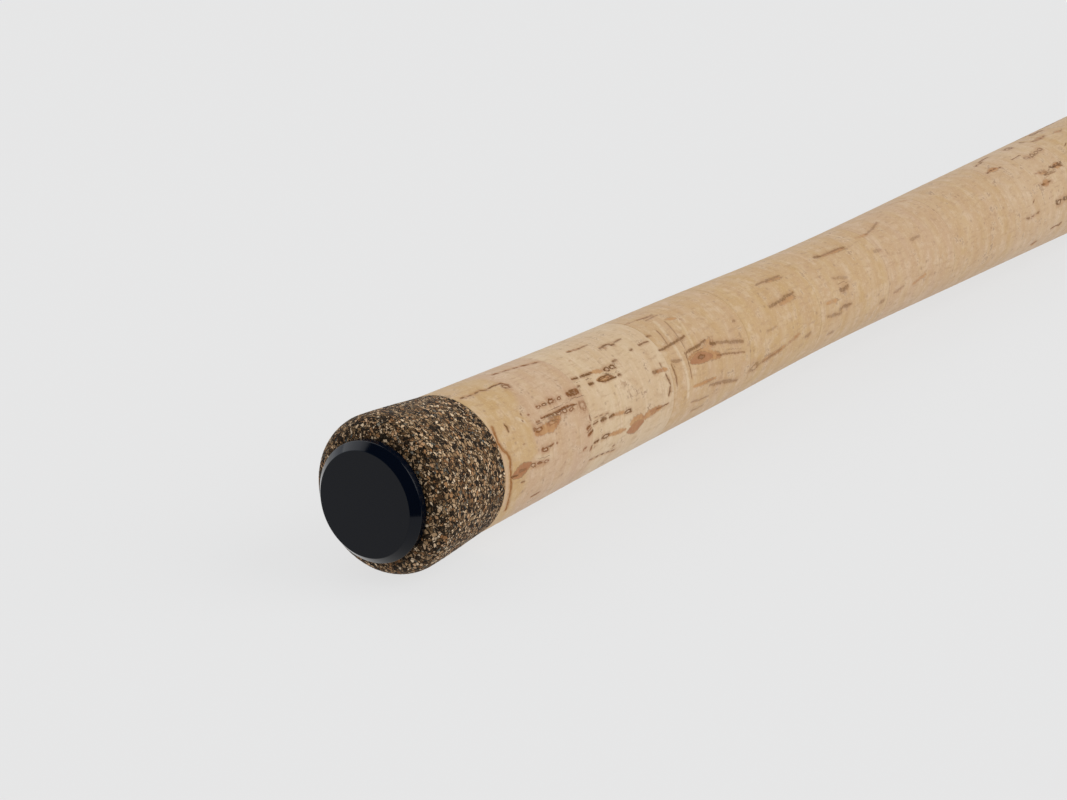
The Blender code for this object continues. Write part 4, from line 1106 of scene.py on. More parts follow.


# Marks of the rear grip, read off the photograph, from the butt towards the tip. Each row holds the
# kind, half width in pixels and strength, then the column and row of each point of its path.
PHOTO_MARKS = (
    # First ring
    (R, 3.0, 0.85, 489.5, 430, 493, 440, 497, 448, 502, 456, 505.5, 464, 506.8, 474, 507, 484, 506.5,
     494, 504, 504),
    (L, 1.8, 1.00, 491, 426, 494.5, 434, 498, 443, 502.5, 450, 507.5, 454.5, 510, 461, 510.6, 470, 511,
     480, 510.3, 492, 508.3, 501, 505, 511),
    (R, 7.0, 0.75, 556, 362, 568, 376, 578, 392, 585, 410, 587, 430, 585, 455, 578, 478),
    (D, 1.6, 0.80, 491, 375.3, 505, 370.7, 528, 364.6, 540, 361.5),
    (D, 1.4, 0.80, 459, 399.3, 474, 394, 479, 391, 488, 389.5),
    (T, 1.2, 0.85, 488, 389, 494, 385.5, 501, 383.3, 509, 385),
    (O, 3.0, 0.75, 501.5, 387, 511, 386.8),
    (T, 1.7, 0.85, 503.5, 424, 507, 427.5, 508.5, 432.5),
    (P, 2.4, 1.00, 517, 418.5, 524, 421.5),
    (T, 1.2, 0.85, 520.3, 413.5, 521.5, 416),
    (T, 1.3, 0.90, 521.5, 420.3, 523.5, 421.8),
    (T, 1.1, 0.75, 527, 415, 529.5, 414.5),
    (O, 1.9, 0.90, 535, 407.3, 541, 405.4, 546.4, 403),
    (O, 3.0, 0.95, 547, 402.9, 555, 400.1),
    (O, 1.9, 0.85, 556.4, 399.3, 561.5, 397.4),
    (O, 3.1, 0.95, 565.5, 394.9, 572, 393.2, 579.8, 390.4),
    (T, 1.4, 0.95, 540.6, 418.4, 548, 415.3, 555, 412.5, 562, 408.6, 570, 405.4, 576.5, 404),
    (O, 2.1, 0.85, 555.5, 414.4, 563, 411.6, 574, 407.6),
    (O, 4.7, 0.55, 577.5, 405.6, 586.8, 404.6),
    (S, 5.6, 1.20, 542, 430, 551, 426.5, 559.5, 417),
    (S, 3.6, 1.05, 535, 434.2, 545, 431.8),
    (O, 3.0, 0.85, 533, 430, 544, 428),
    (O, 2.5, 0.50, 547.5, 419.5, 558.5, 416.8),
    (O, 2.5, 0.45, 546.5, 424.4, 558, 421.6),
    (T, 1.3, 0.80, 535.5, 422.4, 539.8, 421),
    (O, 2.8, 0.90, 541, 450.8, 549.4, 448.6),
    (T, 1.2, 0.85, 547.5, 447.6, 554, 443.3),
    (T, 1.2, 0.70, 556, 443.4, 558, 442.6),
    (P, 3.6, 0.85, 537, 458, 550, 454.5),
    (O, 1.9, 0.85, 530.5, 466.2, 540, 463.8, 549.6, 460.4),
    (K, 6.6, 1.00, 512.5, 477.2, 519, 472.5, 531, 463.0),
    (O, 2.0, 0.50, 517.5, 473.4, 527, 468.4),
    (T, 1.1, 0.90, 510.5, 478, 514, 476.8, 518, 475.2),
    (T, 1.2, 0.60, 520.5, 483, 525, 481.3),
    (T, 1.3, 0.80, 530.3, 497.2, 535, 494.6, 540.2, 491.6),
    (T, 1.1, 0.40, 522.5, 444.6, 525.5, 444.2),
    # Along the seam between the first two rings
    (T, 1.3, 0.65, 589, 416, 590.9, 421),
    (T, 1.8, 0.90, 586.6, 430, 590.6, 425),
    (T, 2.0, 0.95, 587.8, 436, 592.8, 429.6),
    (T, 1.6, 0.80, 583, 450.2, 586.8, 447.4),
    (T, 1.4, 0.75, 589.6, 451.4, 592, 445),
    # Second ring
    (S, 2.6, 0.75, 567, 351.8, 580, 348.6),
    (T, 1.3, 0.70, 566, 352.4, 571, 351.2),
    (T, 1.1, 0.60, 577, 349.2, 587.5, 344.8),
    (T, 1.6, 0.80, 598.5, 348.6, 604, 345.8, 609, 343.6),
    (T, 2.2, 0.90, 609.5, 345.6, 614, 343.8),
    (T, 1.2, 0.65, 613.5, 342.8, 621, 338.6),
    (S, 3.0, 0.50, 600, 350, 606, 348),
    (T, 1.5, 0.95, 571, 379.7, 578, 377.5),
    (T, 1.7, 0.95, 579.6, 377, 586, 375, 591.5, 372.2),
    (S, 2.9, 0.80, 590, 372.8, 600, 370.8, 607, 369),
    (O, 2.2, 0.95, 603, 370.2, 609, 368.3, 615.4, 366),
    (T, 1.9, 0.95, 588, 384.4, 593.4, 382.8),
    (S, 3.4, 1.00, 597, 380.6, 605, 378.2, 613, 376.2),
    (T, 1.1, 0.85, 597, 380.8, 602, 376.8, 607, 375, 612, 376),
    (T, 1.3, 0.90, 598, 381, 604, 381.6, 611, 378.8, 616.5, 376.6),
    (T, 1.7, 0.85, 617.5, 375.8, 621, 374.4),
    (T, 1.4, 0.75, 577, 386.6, 580, 385.4),
    (T, 1.7, 0.80, 612, 362.4, 616.6, 359.4),
    (D, 0.9, 0.50, 593.5, 418.2, 609, 412.4),
    (T, 1.3, 0.75, 592.6, 424.8, 598.4, 421.6),
    (T, 2.1, 0.95, 600.4, 420.6, 607, 418),
    (T, 2.0, 0.90, 608.6, 418, 614.6, 414.6),
    (S, 2.7, 0.75, 613, 415, 624.5, 412),
    (O, 1.9, 0.90, 624, 413.4, 632, 409.4),
    (S, 5.6, 0.95, 630.5, 424, 636, 420, 643, 416.5),
    (K, 6.4, 0.95, 627.5, 432, 634, 428, 643, 421.5),
    (S, 4.4, 1.05, 642, 419, 650, 413, 661, 406.8),
    (T, 1.1, 0.75, 656, 409, 662.5, 406.4, 669, 403),
    (T, 1.8, 0.90, 593.4, 443.2, 599.4, 440),
    (O, 2.1, 0.90, 600.8, 439, 610, 433.6),
    (S, 3.1, 0.85, 608.5, 435, 617, 432.6, 626, 428.8),
    (D, 1.3, 0.80, 588.5, 460.6, 600.5, 454.6, 615.5, 449.6),
    (T, 1.4, 0.70, 612, 446.6, 614.8, 445),
    (S, 1.8, 0.55, 624, 325.3, 636, 320.7, 648, 317),
    (T, 1.1, 0.50, 636, 321, 652, 315),
    (T, 1.5, 0.70, 629, 350.6, 632.4, 349),
    (T, 1.4, 0.70, 638, 345.6, 648.5, 341.3),
    (T, 1.4, 0.60, 645.5, 337.2, 651, 335.4),
    (S, 2.8, 0.95, 656, 371.8, 667, 368.8),
    (T, 2.3, 0.75, 652.4, 373, 657.4, 371),
    (T, 1.4, 0.60, 659.2, 362.6, 662, 367.4),
    (T, 1.5, 0.75, 665, 374, 668.4, 379, 670.4, 385),
    (T, 2.2, 0.85, 671, 386, 670, 391.5, 668.4, 396.2),
    # Third ring
    (P, 2.6, 0.95, 655, 322, 664, 332, 672, 343, 679, 354, 684.5, 367, 688, 384, 688, 396),
    (P, 2.0, 0.60, 674, 316, 685, 330, 693, 346),
    (T, 1.2, 0.50, 656, 330, 663, 338, 669, 347),
    (T, 1.5, 0.60, 671, 364, 675, 374, 677.4, 386),
    (T, 1.2, 0.55, 684.4, 352, 689, 365, 691.8, 379),
    (T, 1.2, 0.42, 664, 321, 675, 333, 685, 349),
    (T, 1.8, 0.70, 658.4, 350.6, 667, 347, 675, 341.4, 685, 335.6),
    (T, 2.0, 0.45, 671, 361.6, 682, 360.4),
    (T, 1.8, 0.70, 684.4, 353.9, 690, 350, 697, 346.3, 705.5, 339.8),
    (S, 5.6, 0.55, 703, 352, 708, 345, 712, 337),
    (S, 6.4, 0.85, 689, 359, 701, 354, 721, 355.5),
    (K, 5.8, 0.90, 690.5, 363, 700, 357.8, 712, 355.4),
    (O, 2.7, 0.70, 697, 358, 706, 356),
    (T, 2.6, 0.74, 709.4, 343.6, 716, 343.2),
    (T, 2.3, 0.53, 715.6, 342.4, 728, 341.8, 743.8, 341.4),
    (T, 1.3, 0.53, 716.5, 355, 731, 353.4, 745, 351.8),
    (S, 2.2, 0.80, 693, 387, 703, 383, 716, 377.2),
    (T, 2.3, 0.49, 709, 385.6, 722, 382, 737.5, 380),
    (T, 1.5, 0.41, 690.5, 402.2, 699, 400, 708.5, 396),
    (T, 1.5, 0.37, 690.5, 411.2, 697, 408.2, 703.5, 404.8),
    (S, 2.4, 0.65, 665, 320, 675.5, 318),
    (T, 1.3, 0.41, 645, 321.4, 657.5, 314.8),
    (T, 1.5, 0.41, 732, 321.8, 735, 320.6),
    # Fourth ring and on
    (O, 4.6, 0.50, 748, 370.6, 760, 362),
    (S, 3.0, 0.60, 756, 366.5, 766, 358.4, 781, 349, 799, 334),
    (T, 1.6, 0.37, 760, 364, 770, 356.6, 782, 348),
    (T, 1.8, 0.49, 755, 285.6, 763, 281.8, 779.5, 275.5),
    (S, 2.6, 0.55, 765, 283, 782, 277),
    (T, 2.2, 0.61, 769, 307.4, 779, 301.2, 793.5, 291.7),
    (S, 3.4, 0.60, 779, 305, 795, 296),
    (T, 1.4, 0.29, 766.5, 331.5, 776.5, 326.6),
    (T, 2.6, 0.66, 812.6, 257.8, 821.4, 256.2),
    (T, 1.6, 0.45, 820, 256, 832, 251.2, 844, 246.8),
    (S, 2.6, 0.70, 822, 256.6, 845, 247.4),
    (S, 2.6, 0.60, 855, 238.4, 868, 234),
    (T, 1.6, 0.41, 865, 234.8, 871, 230, 877, 222),
    (S, 2.2, 0.50, 889, 205, 908.5, 199.7),
    (T, 2.2, 0.33, 873, 251.8, 881, 249.6),
    (T, 2.0, 0.37, 910, 240.6, 919.5, 235.4),
    (T, 2.0, 0.33, 832, 278.4, 848, 277.4),
    (T, 2.3, 0.61, 839.4, 291, 848.6, 285.4),
    (S, 2.8, 0.60, 826, 304.4, 838, 299.4),
    (T, 2.4, 0.53, 839, 309.6, 852, 303.6),
    (T, 2.2, 0.45, 827, 317, 842, 313),
    (T, 2.4, 0.49, 804.6, 337.6, 811, 332.4),
    (S, 3.2, 0.70, 787, 344, 800, 333.4),
    (T, 2.2, 0.37, 826.5, 334.8, 833.8, 331.4),
    (T, 2.4, 0.41, 879, 304, 884.4, 300),
    (S, 2.6, 0.70, 912, 284.6, 926, 273.6),
    (T, 1.8, 0.33, 893, 293.4, 904.5, 285.6),
)

# Edge between the first ring's straw-coloured bark side and its rosy side, in the photograph's pixels
STRAW_EDGE = ((497, 383), (515, 394), (520, 406), (530, 421), (534, 437), (538, 452), (530, 462),
              (528, 482), (518, 500))

# Groups of marks tried on each ring, for its side that the photograph doesn't show
STRAY_GROUPS = 46

# Kinds of such groups, with the share of each
STRAY_KINDS = {"dashes": 0.30, "stain": 0.20, "cells": 0.20, "knot": 0.05, "strokes": 0.25}

# Distance from a channel, in half widths, that means there is none
NO_CHANNEL = 3.0


@dataclass(frozen=True)
class RingTone:
    """Tone of one cork ring: rosy from 0 (straw) to 1, and pale from 0 to 1."""

    rosy: float
    pale: float


class CorkPainter:
    """Paints bark channels, stains and tone on the points of a cork ring."""

    def __init__(self, camera: PhotoCamera, radius: Radius) -> None:
        """Takes the photograph's marks to the cork's surface.

        Args:
            camera: the photograph's camera.
            radius: the grip's radius at given stations.
        """
        self.camera = camera
        self.radius = radius
        self.marks = [self._on_cork(*row) for row in PHOTO_MARKS]
        self.edge = np.array(sorted(camera.meet(pixel, radius)[::-1] for pixel in STRAW_EDGE))

    def _on_cork(self, kind: MarkKind, width: float, strength: float, *pixels: float) -> Mark:
        """One of the photograph's marks, in stations, angles and metres."""
        path = tuple(self.camera.meet(pixel, self.radius) for pixel in zip(pixels[::2], pixels[1::2]))
        return Mark(kind, width * self.camera.pixel_size(path[0][0]), strength, path)

    def stray_marks(self, start: float, end: float, draws: np.random.Generator, seen: bool) -> list[Mark]:
        """Marks for what the photograph doesn't show of a ring.

        Args:
            start: station of the ring's rear end.
            end: station of its front end.
            draws: source of random numbers.
            seen: whether the photograph shows the side of this ring that faces its camera.

        Returns:
            The marks: streaks along the rod, some with a stain or a chain of cells beside them.
        """
        marks = []
        for _ in range(STRAY_GROUPS):
            x, angle = draws.uniform(start, end), draws.uniform(-math.pi, math.pi)
            length, width = draws.uniform(0.002, 0.011), draws.uniform(0.00012, 0.00032)
            kind = draws.choice(list(STRAY_KINDS), p=list(STRAY_KINDS.values()))
            strength, drift = draws.uniform(0.45, 0.95), draws.uniform(-0.06, 0.06)
            if seen and self.camera.faces(np.array(x), np.array(angle)) > -0.03:
                continue
            steps = np.linspace(0.0, 1.0, 5)
            wave = drift * steps + 0.02 * np.sin(5 * steps + 9 * strength)
            path = tuple((x + length * t, angle + w) for t, w in zip(steps, wave))
            streak = {
                "strokes": Mark(T, width, strength, path[:3]), "knot": Mark(K, 0.0009, strength, path[:4]),
                "cells": Mark(O, 0.00035 + width, strength, path),
            }
            marks.append(streak.get(kind, Mark(D, width, strength, path)))
            if kind == "stain":
                marks.append(Mark(S, 0.0004 + 2 * width, strength, path[1:4]))
        return marks

    @staticmethod
    def _follow(mark: Mark, x: Array, angle: Array, radius: float) -> tuple[Array, Array, Array, float]:
        """Where spots of the surface lie beside a mark's path.

        Each spot takes the segment of the path that it is nearest to. Its offset is measured from that
        segment's whole line, and its run goes on past both ends of the path.

        Args:
            mark: the mark.
            x: station of each spot.
            angle: angle of each spot.
            radius: radius at which angles are turned into lengths.

        Returns:
            Distance from the path, offset with a sign, run along the path, and the path's length.
        """
        spots, nodes = np.stack((x, angle), axis=-1), np.array(mark.path)
        first = nodes[0, 1]
        for rows in (nodes, spots):
            rows[:, 1] = ((rows[:, 1] - first + math.pi) % TAU - math.pi) * radius
        best = np.full(x.shape, 1e9)
        side, run = np.zeros(x.shape), np.zeros(x.shape)
        done = 0.0
        for i, (near, far) in enumerate(zip(nodes, nodes[1:])):
            step = far - near
            length = max(float(np.hypot(*step)), 1e-9)
            share = ((spots - near) @ step) / length**2
            gap = spots - near - np.clip(share, 0.0, 1.0)[:, None] * step
            distance = np.hypot(gap[:, 0], gap[:, 1])
            closer = distance < best
            best = np.where(closer, distance, best)
            turn = step[0] * (spots[:, 1] - near[1]) - step[1] * (spots[:, 0] - near[0])
            side = np.where(closer, turn / length, side)
            free = np.clip(share, -9.0 if i == 0 else 0.0, 9.0 if i == len(nodes) - 2 else 1.0)
            run = np.where(closer, done + free * length, run)
            done += length
        return best, side, run, done

    @staticmethod
    def _patch(mark: Mark, best: Array, run: Array, length: float) -> Array:
        """Amount that a stain, knot or band lays, from 1 inside to 0 outside its outline.

        Args:
            mark: the mark.
            best: distance of each spot from its path.
            run: how far along the path each spot lies.
            length: the path's length.

        Returns:
            The amount at each spot.
        """
        if mark.kind in (R, P):
            return mark.strength * smooth_step(1.25, 0.45, best / mark.width)
        share = np.clip(run / length, 0.0, 1.0)
        wobble = ripple(run / (1.1 * MM) * TAU, best / MM * 4, 1000 * mark.path[0][0])
        if mark.kind is S:
            half = mark.width * (0.35 + 0.65 * np.sqrt(np.clip(np.sin(math.pi * share), 0.0, 1.0)))
            return mark.strength * smooth_step(1.35, 0.45, best / half + 0.25 * wobble)
        half = mark.width * np.clip(np.sin(math.pi * (0.06 + 0.88 * share)), 0.0, 1.0) ** 0.8
        return mark.strength * smooth_step(1.3, 0.6, best / (half + 1e-6) + 0.12 * wobble)

    def grain(self, x: Array, angle: Array, marks: list[Mark], tone: RingTone,
              straw_end: bool) -> tuple[Array, Array]:
        """Layers of a ring: stain, rosy, pale and knot, and the place of its bark channels.

        Args:
            x: station of each point.
            angle: angle of each point about the rod.
            marks: the ring's marks.
            tone: the ring's own tone.
            straw_end: whether this is the first ring, with its straw-coloured bark side.

        Returns:
            Both layers, points by 4, as the Cork finish reads them.
        """
        layers = {kind: np.zeros(x.shape) for kind in (S, K, R, P)}
        vein = np.zeros((len(x), 4))
        vein[:, 0] = NO_CHANNEL
        score = np.full(x.shape, 7.0)
        for number, mark in enumerate(marks):
            reach = 7.0 * mark.width + 0.4 * MM
            along = [a for a, _ in mark.path]
            near = np.flatnonzero((x > min(along) - reach) & (x < max(along) + reach))
            if not len(near):
                continue
            radius = float(self.radius(np.array(along[0])))
            best, side, run, length = self._follow(mark, x[near], angle[near], radius)
            if mark.kind in layers:
                amount = self._patch(mark, best, run, length)
                for kind in (S, K) if mark.kind is K else (mark.kind,):
                    layers[kind][near] = np.maximum(layers[kind][near], amount)
                continue
            width = mark.width
            if mark.kind is T:
                width = width * (0.55 + 0.45 * np.sqrt(np.sin(math.pi * np.clip(run / length, 0.02, 0.98))))
            reading = best / width
            closer = reading < score[near]
            fade = 0.7 * mark.width
            ends = smooth_step(-fade, fade, run) * smooth_step(length + fade, length - fade, run)
            cells = max(1, round(length / (CELL_SPANS[mark.kind] * mark.width)))
            strength = mark.strength * ends * smooth_step(3.6, 2.9, reading)
            code = np.full(len(near), VEIN_CODES[mark.kind])
            rows = np.stack((side / width, run / length * cells + 12.0 * number, strength, code), axis=-1)
            vein[near[closer]] = rows[closer]
            score[near[closer]] = reading[closer]
        rosy = np.clip(tone.rosy + 0.25 * ripple(x / (9 * MM) * TAU, 2 * angle, 3.0 * tone.rosy), 0.0, 1.0)
        pale = np.clip(tone.pale + 0.25 * ripple(x / (7 * MM) * TAU, 3 * angle, tone.pale), 0.0, 1.0)
        if straw_end:
            border = np.interp(angle, *self.edge.T) + 0.6 * MM * ripple(6 * angle, 0.0, 2.0)
            rosy = 0.05 + (rosy - 0.05) * smooth_step(-1.6 * MM, 1.0 * MM, x - border)
        rosy = rosy + (1.0 - rosy) * layers[R]
        pale = pale + (1.0 - pale) * layers[P] - 0.5 * pale * layers[R]
        return np.stack((layers[S], rosy, pale, layers[K]), axis=-1), vein


@dataclass(frozen=True)
class Blank:
    """Outside of the blank: one straight taper on each section."""

    butt_radius: float = 0.0070
    joint_radius: float = 0.0048
    tip_radius: float = 0.0012
    butt_end: float = 0.870
    socket_end: float = 0.915
    tip_start: float = 0.9186
    rod_length: float = 1.800
    wall: float = 0.0014
    tip_wall: float = 0.0007

    def radius(self, x: float) -> float:
        """Outside radius at a station.

        Args:
            x: Station.

        Returns:
            Radius in metres.
        """
        if x <= self.socket_end:
            return self.butt_radius + (self.joint_radius - self.butt_radius) * x / self.butt_end
        share = (x - self.tip_start) / (self.rod_length - self.tip_start)
        return self.joint_radius + (self.tip_radius - self.joint_radius) * share

    def bore(self, x: float) -> float:
        """Bore that fits round the blank at a station."""
        return self.radius(x) + GAP


@dataclass
class Handle:
    """Butt cap, burl rings, cork grips and winding check."""

    shop: Workshop
    blank: Blank
    camera: PhotoCamera
    cap_face: float = 0.00955
    cap_flange: float = 0.01087
    chamfer_depth: float = 0.00152
    flange_depth: float = 0.00295
    spigot_length: float = 0.0140
    edge_break: float = 0.00009
    burl_edge_step: float = 0.0001
    burl_shoulder: float = 0.01435
    burl_shoulder_depth: float = 0.0038
    burl_step: float = 0.00024
    burl_bumps: float = 0.000016
    nose_edge: float = 0.0092
    nose_shoulder_at: float = 0.0045
    check_rear: float = 0.0086
    check_rim: float = 0.0018
    check_waist_at: float = 0.0046
    check_waist_wall: float = 0.0013
    check_wall: float = 0.0008
    seam: float = 0.00002
    seam_edge: float = 0.00004
    fine_step: float = 0.00022
    plain_step: float = 0.00038
    channel_depth: float = 0.00009
    knot_depth: float = 0.00003

    REAR_OUTLINE = ((0.000, 0.01305), (0.042, 0.01204), (0.076, 0.01155), (0.126, 0.01072),
                    (0.185, 0.01146), (0.308, 0.01340))
    FORE_OUTLINE = ((0.000, 0.01290), (0.034, 0.01235), (0.076, 0.01285), (0.112, 0.01410))
    REAR_TONES = ((0.90, 0.12), (0.35, 0.85), (0.40, 0.05), (0.22, 0.04), (0.35, 0.10), (0.65, 0.05),
                  (0.45, 0.12), (0.60, 0.30), (0.30, 0.15), (0.70, 0.10), (0.40, 0.35))
    FORE_TONES = ((0.55, 0.20), (0.30, 0.10), (0.70, 0.25), (0.45, 0.10))
    FINE_RINGS = 3
    SEEN_RINGS = 7

    @staticmethod
    def grip_radius(node: str, outline: tuple[tuple[float, float], ...]) -> Radius:
        """Radius of a grip at given stations of the rod, for an outline that starts at a node."""
        knots = np.array(outline) + np.array((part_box(node)[0].x, 0.0))
        return lambda x: smooth_through(knots, np.asarray(x, float))

    def cap(self) -> None:
        """Turned butt cap: flat face, chamfer and rim with their edges just broken, and a spigot."""
        spigot = self.blank.butt_radius - self.blank.wall - GAP
        end = self.flange_depth + self.spigot_length
        corners = [
            (0.0, self.cap_face - 0.0008, 0.0), (0.0, self.cap_face, self.edge_break),
            (self.chamfer_depth, self.cap_flange, self.edge_break),
            (self.flange_depth, self.cap_flange, self.edge_break),
            (self.flange_depth, spigot, 0.0), (end, spigot, 0.0003), (end, spigot / 2, 0.0),
        ]
        shell = revolve(rounded(corners, 5, ring=False), 192, ring=False)
        self.shop.dress("cap_disc", shell, "black_anodised", "butt_cap", 30.0)

    def _grained(self, outer: Array, step: float) -> tuple[Shell, int]:
        """Turned ring round the blank, with an even fine grid over its outside.

        Args:
            outer: outline of the outside, rows of (station, radius).
            step: wanted distance between points round the ring.

        Returns:
            The ring, and how many of its points are outside.
        """
        bore = [(end, self.blank.bore(end)) for end in (outer[-1, 0], outer[0, 0])]
        sides = int(TAU * outer[:, 1].max() / step / 8) * 8
        return revolve(np.vstack((outer, bore)), sides), len(outer) * sides

    def _even(self, start: float, end: float, step: float, radius: Radius) -> Array:
        """Outline of a ring's outside, with both edges rounded by a quarter circle.

        Args:
            start: station of its rear end.
            end: station of its front end.
            step: distance between points.
            radius: radius at given stations.

        Returns:
            Rows of (station, radius).
        """
        edge, turn = self.seam_edge, quarter(4)[:-1]
        inset, drop = edge * (1 - np.cos(turn)), edge * (1 - np.sin(turn))
        middle = np.linspace(start + edge, end - edge, int((end - start) / step) + 1)
        x = np.concatenate((start + inset, middle, end - inset[::-1]))
        drop = np.concatenate((drop, np.zeros(len(middle)), drop[::-1]))
        return np.stack((x, radius(x) - drop), axis=-1)

    def cork_ring(self, name: str, node: str, painter: CorkPainter, tone: RingTone, step: float,
                  draws: np.random.Generator, seen: bool, first: bool) -> None:
        """One cork ring, with its channels sunk into its surface.

        Args:
            name: the piece's name.
            node: the CAD node that it stands for.
            painter: lays the marks.
            tone: the ring's tone.
            step: distance between points.
            draws: source of random numbers.
            seen: whether the photograph shows this ring.
            first: whether this is the ring next to the burl.
        """
        low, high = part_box(node)
        start, end = low.x - (GAP - self.seam) / 2, high.x + (GAP - self.seam) / 2
        shell, count = self._grained(self._even(start, end, step, painter.radius), step)
        x, y, z = shell.points[:count].T
        angle = np.arctan2(z, y)
        marks = painter.stray_marks(start, end, draws, seen)
        if seen:
            marks = painter.marks + marks
        grain, vein = np.zeros((2, len(shell.points), 4))
        grain[:, 1:3] = (tone.rosy, tone.pale)
        vein[:, 0] = NO_CHANNEL
        grain[:count], vein[:count] = painter.grain(x, angle, marks, tone, first)
        wave = 0.012 * MM * ripple(x / (4 * MM) * TAU, 3 * angle, start * 100)
        channel = vein[:count, 2] * smooth_step(1.4, 0.3, np.abs(vein[:count, 0]))
        sink = wave - self.channel_depth * channel - self.knot_depth * grain[:count, 3]
        shell.points[:count, 1:] *= (1 + sink / np.hypot(y, z))[:, None]
        self.shop.dress(name, shell, "cork", node, 60.0, grain=grain, vein=vein)

    def burl_ring(self, name: str, node: str, x: list[Array], radius: list[Array],
                  draws: np.random.Generator) -> None:
        """One burl ring, its granules standing a little uneven.

        Args:
            name: the piece's name.
            node: the CAD node that it stands for.
            x: runs of stations along its outside.
            radius: the outside's radius at them.
            draws: source of random numbers.
        """
        outer = np.stack((np.concatenate(x), np.concatenate(radius)), axis=-1)
        shell, count = self._grained(outer, self.burl_step)
        bumps = self.burl_bumps * draws.normal(0.0, 1.0, count)
        shell.points[:count, 1:] *= (1 + bumps / np.hypot(*shell.points[:count, 1:].T))[:, None]
        self.shop.dress(name, shell, "burl_cork", node, 60.0)

    def rear_burl(self, draws: np.random.Generator) -> None:
        """Burl ring at the butt, rounded down to just proud of the cap's rim.

        Args:
            draws: Random draws.
        """
        low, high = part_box("butt_burl_ring")
        start, end = low.x, high.x + (GAP - self.seam) / 2
        turn = quarter(30)
        depth, edge = self.burl_shoulder_depth, self.cap_flange + self.burl_edge_step
        back = np.linspace(start + depth, end, 70)[1:]
        share = (back - start - depth) / (high.x - start - depth)
        fall = (self.REAR_OUTLINE[0][1] - self.burl_shoulder) * (
            share - 0.10 * np.sin(math.pi * share) * (1 - share))
        x = [start + depth * (1 - np.cos(turn)), back]
        radius = [edge + (self.burl_shoulder - edge) * np.sin(turn), self.burl_shoulder + fall]
        self.burl_ring("rear_burl", "butt_burl_ring", x, radius, draws)

    def nose_burl(self, draws: np.random.Generator) -> None:
        """Burl ring at the foregrip's front: a short rise, then a rounded nose.

        Args:
            draws: Random draws.
        """
        low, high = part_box("fore_burl_ring")
        shoulder = low.x + self.nose_shoulder_at
        lead = np.linspace(low.x - (GAP - self.seam) / 2, shoulder, 16)
        begin, turn = self.FORE_OUTLINE[-1][1], quarter(60)[::-1][1:]
        rise = begin + (self.burl_shoulder - begin) * (lead - low.x) / self.nose_shoulder_at
        drop = self.nose_edge + (self.burl_shoulder - self.nose_edge) * np.sin(turn)
        x = [lead, shoulder + (high.x - shoulder) * np.cos(turn)]
        self.burl_ring("nose_burl", "fore_burl_ring", x, [rise, drop], draws)

    def check(self) -> None:
        """Winding check: a waisted cone with a rim."""
        low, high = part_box("winding_check")
        x, end = low.x, high.x
        rear, front = self.blank.bore(x), self.blank.bore(end)
        corners = [
            (x, rear, 0.0), (x, self.check_rear, 0.0002), (x + self.check_rim, self.check_rear, 0.0003),
            (x + self.check_rim, self.check_rear - 0.0003, 0.0001),
            (x + self.check_waist_at, rear + self.check_waist_wall, 0.0012),
            (end, front + self.check_wall, 0.0002), (end, front, 0.0),
        ]
        shell = revolve(rounded(corners, 6), 96)
        self.shop.dress("check_cone", shell, "black_anodised", "winding_check", 35.0)

    def make(self) -> None:
        """Makes the whole handle."""
        self.cap()
        draws = np.random.default_rng(SEED)
        self.rear_burl(draws)
        painter = CorkPainter(self.camera, self.grip_radius("rear_cork_01", self.REAR_OUTLINE))
        for i, tone in enumerate(self.REAR_TONES):
            step = self.fine_step if i < self.FINE_RINGS else self.plain_step
            self.cork_ring(f"rear_ring_{i + 1:02d}", f"rear_cork_{i + 1:02d}", painter, RingTone(*tone), step,
                           draws, i < self.SEEN_RINGS, i == 0)
        painter = CorkPainter(self.camera, self.grip_radius("fore_cork_1", self.FORE_OUTLINE))
        for i, tone in enumerate(self.FORE_TONES):
            self.cork_ring(f"fore_ring_{i + 1}", f"fore_cork_{i + 1}", painter, RingTone(*tone),
                           self.plain_step, draws, False, False)
        self.nose_burl(draws)
        self.check()


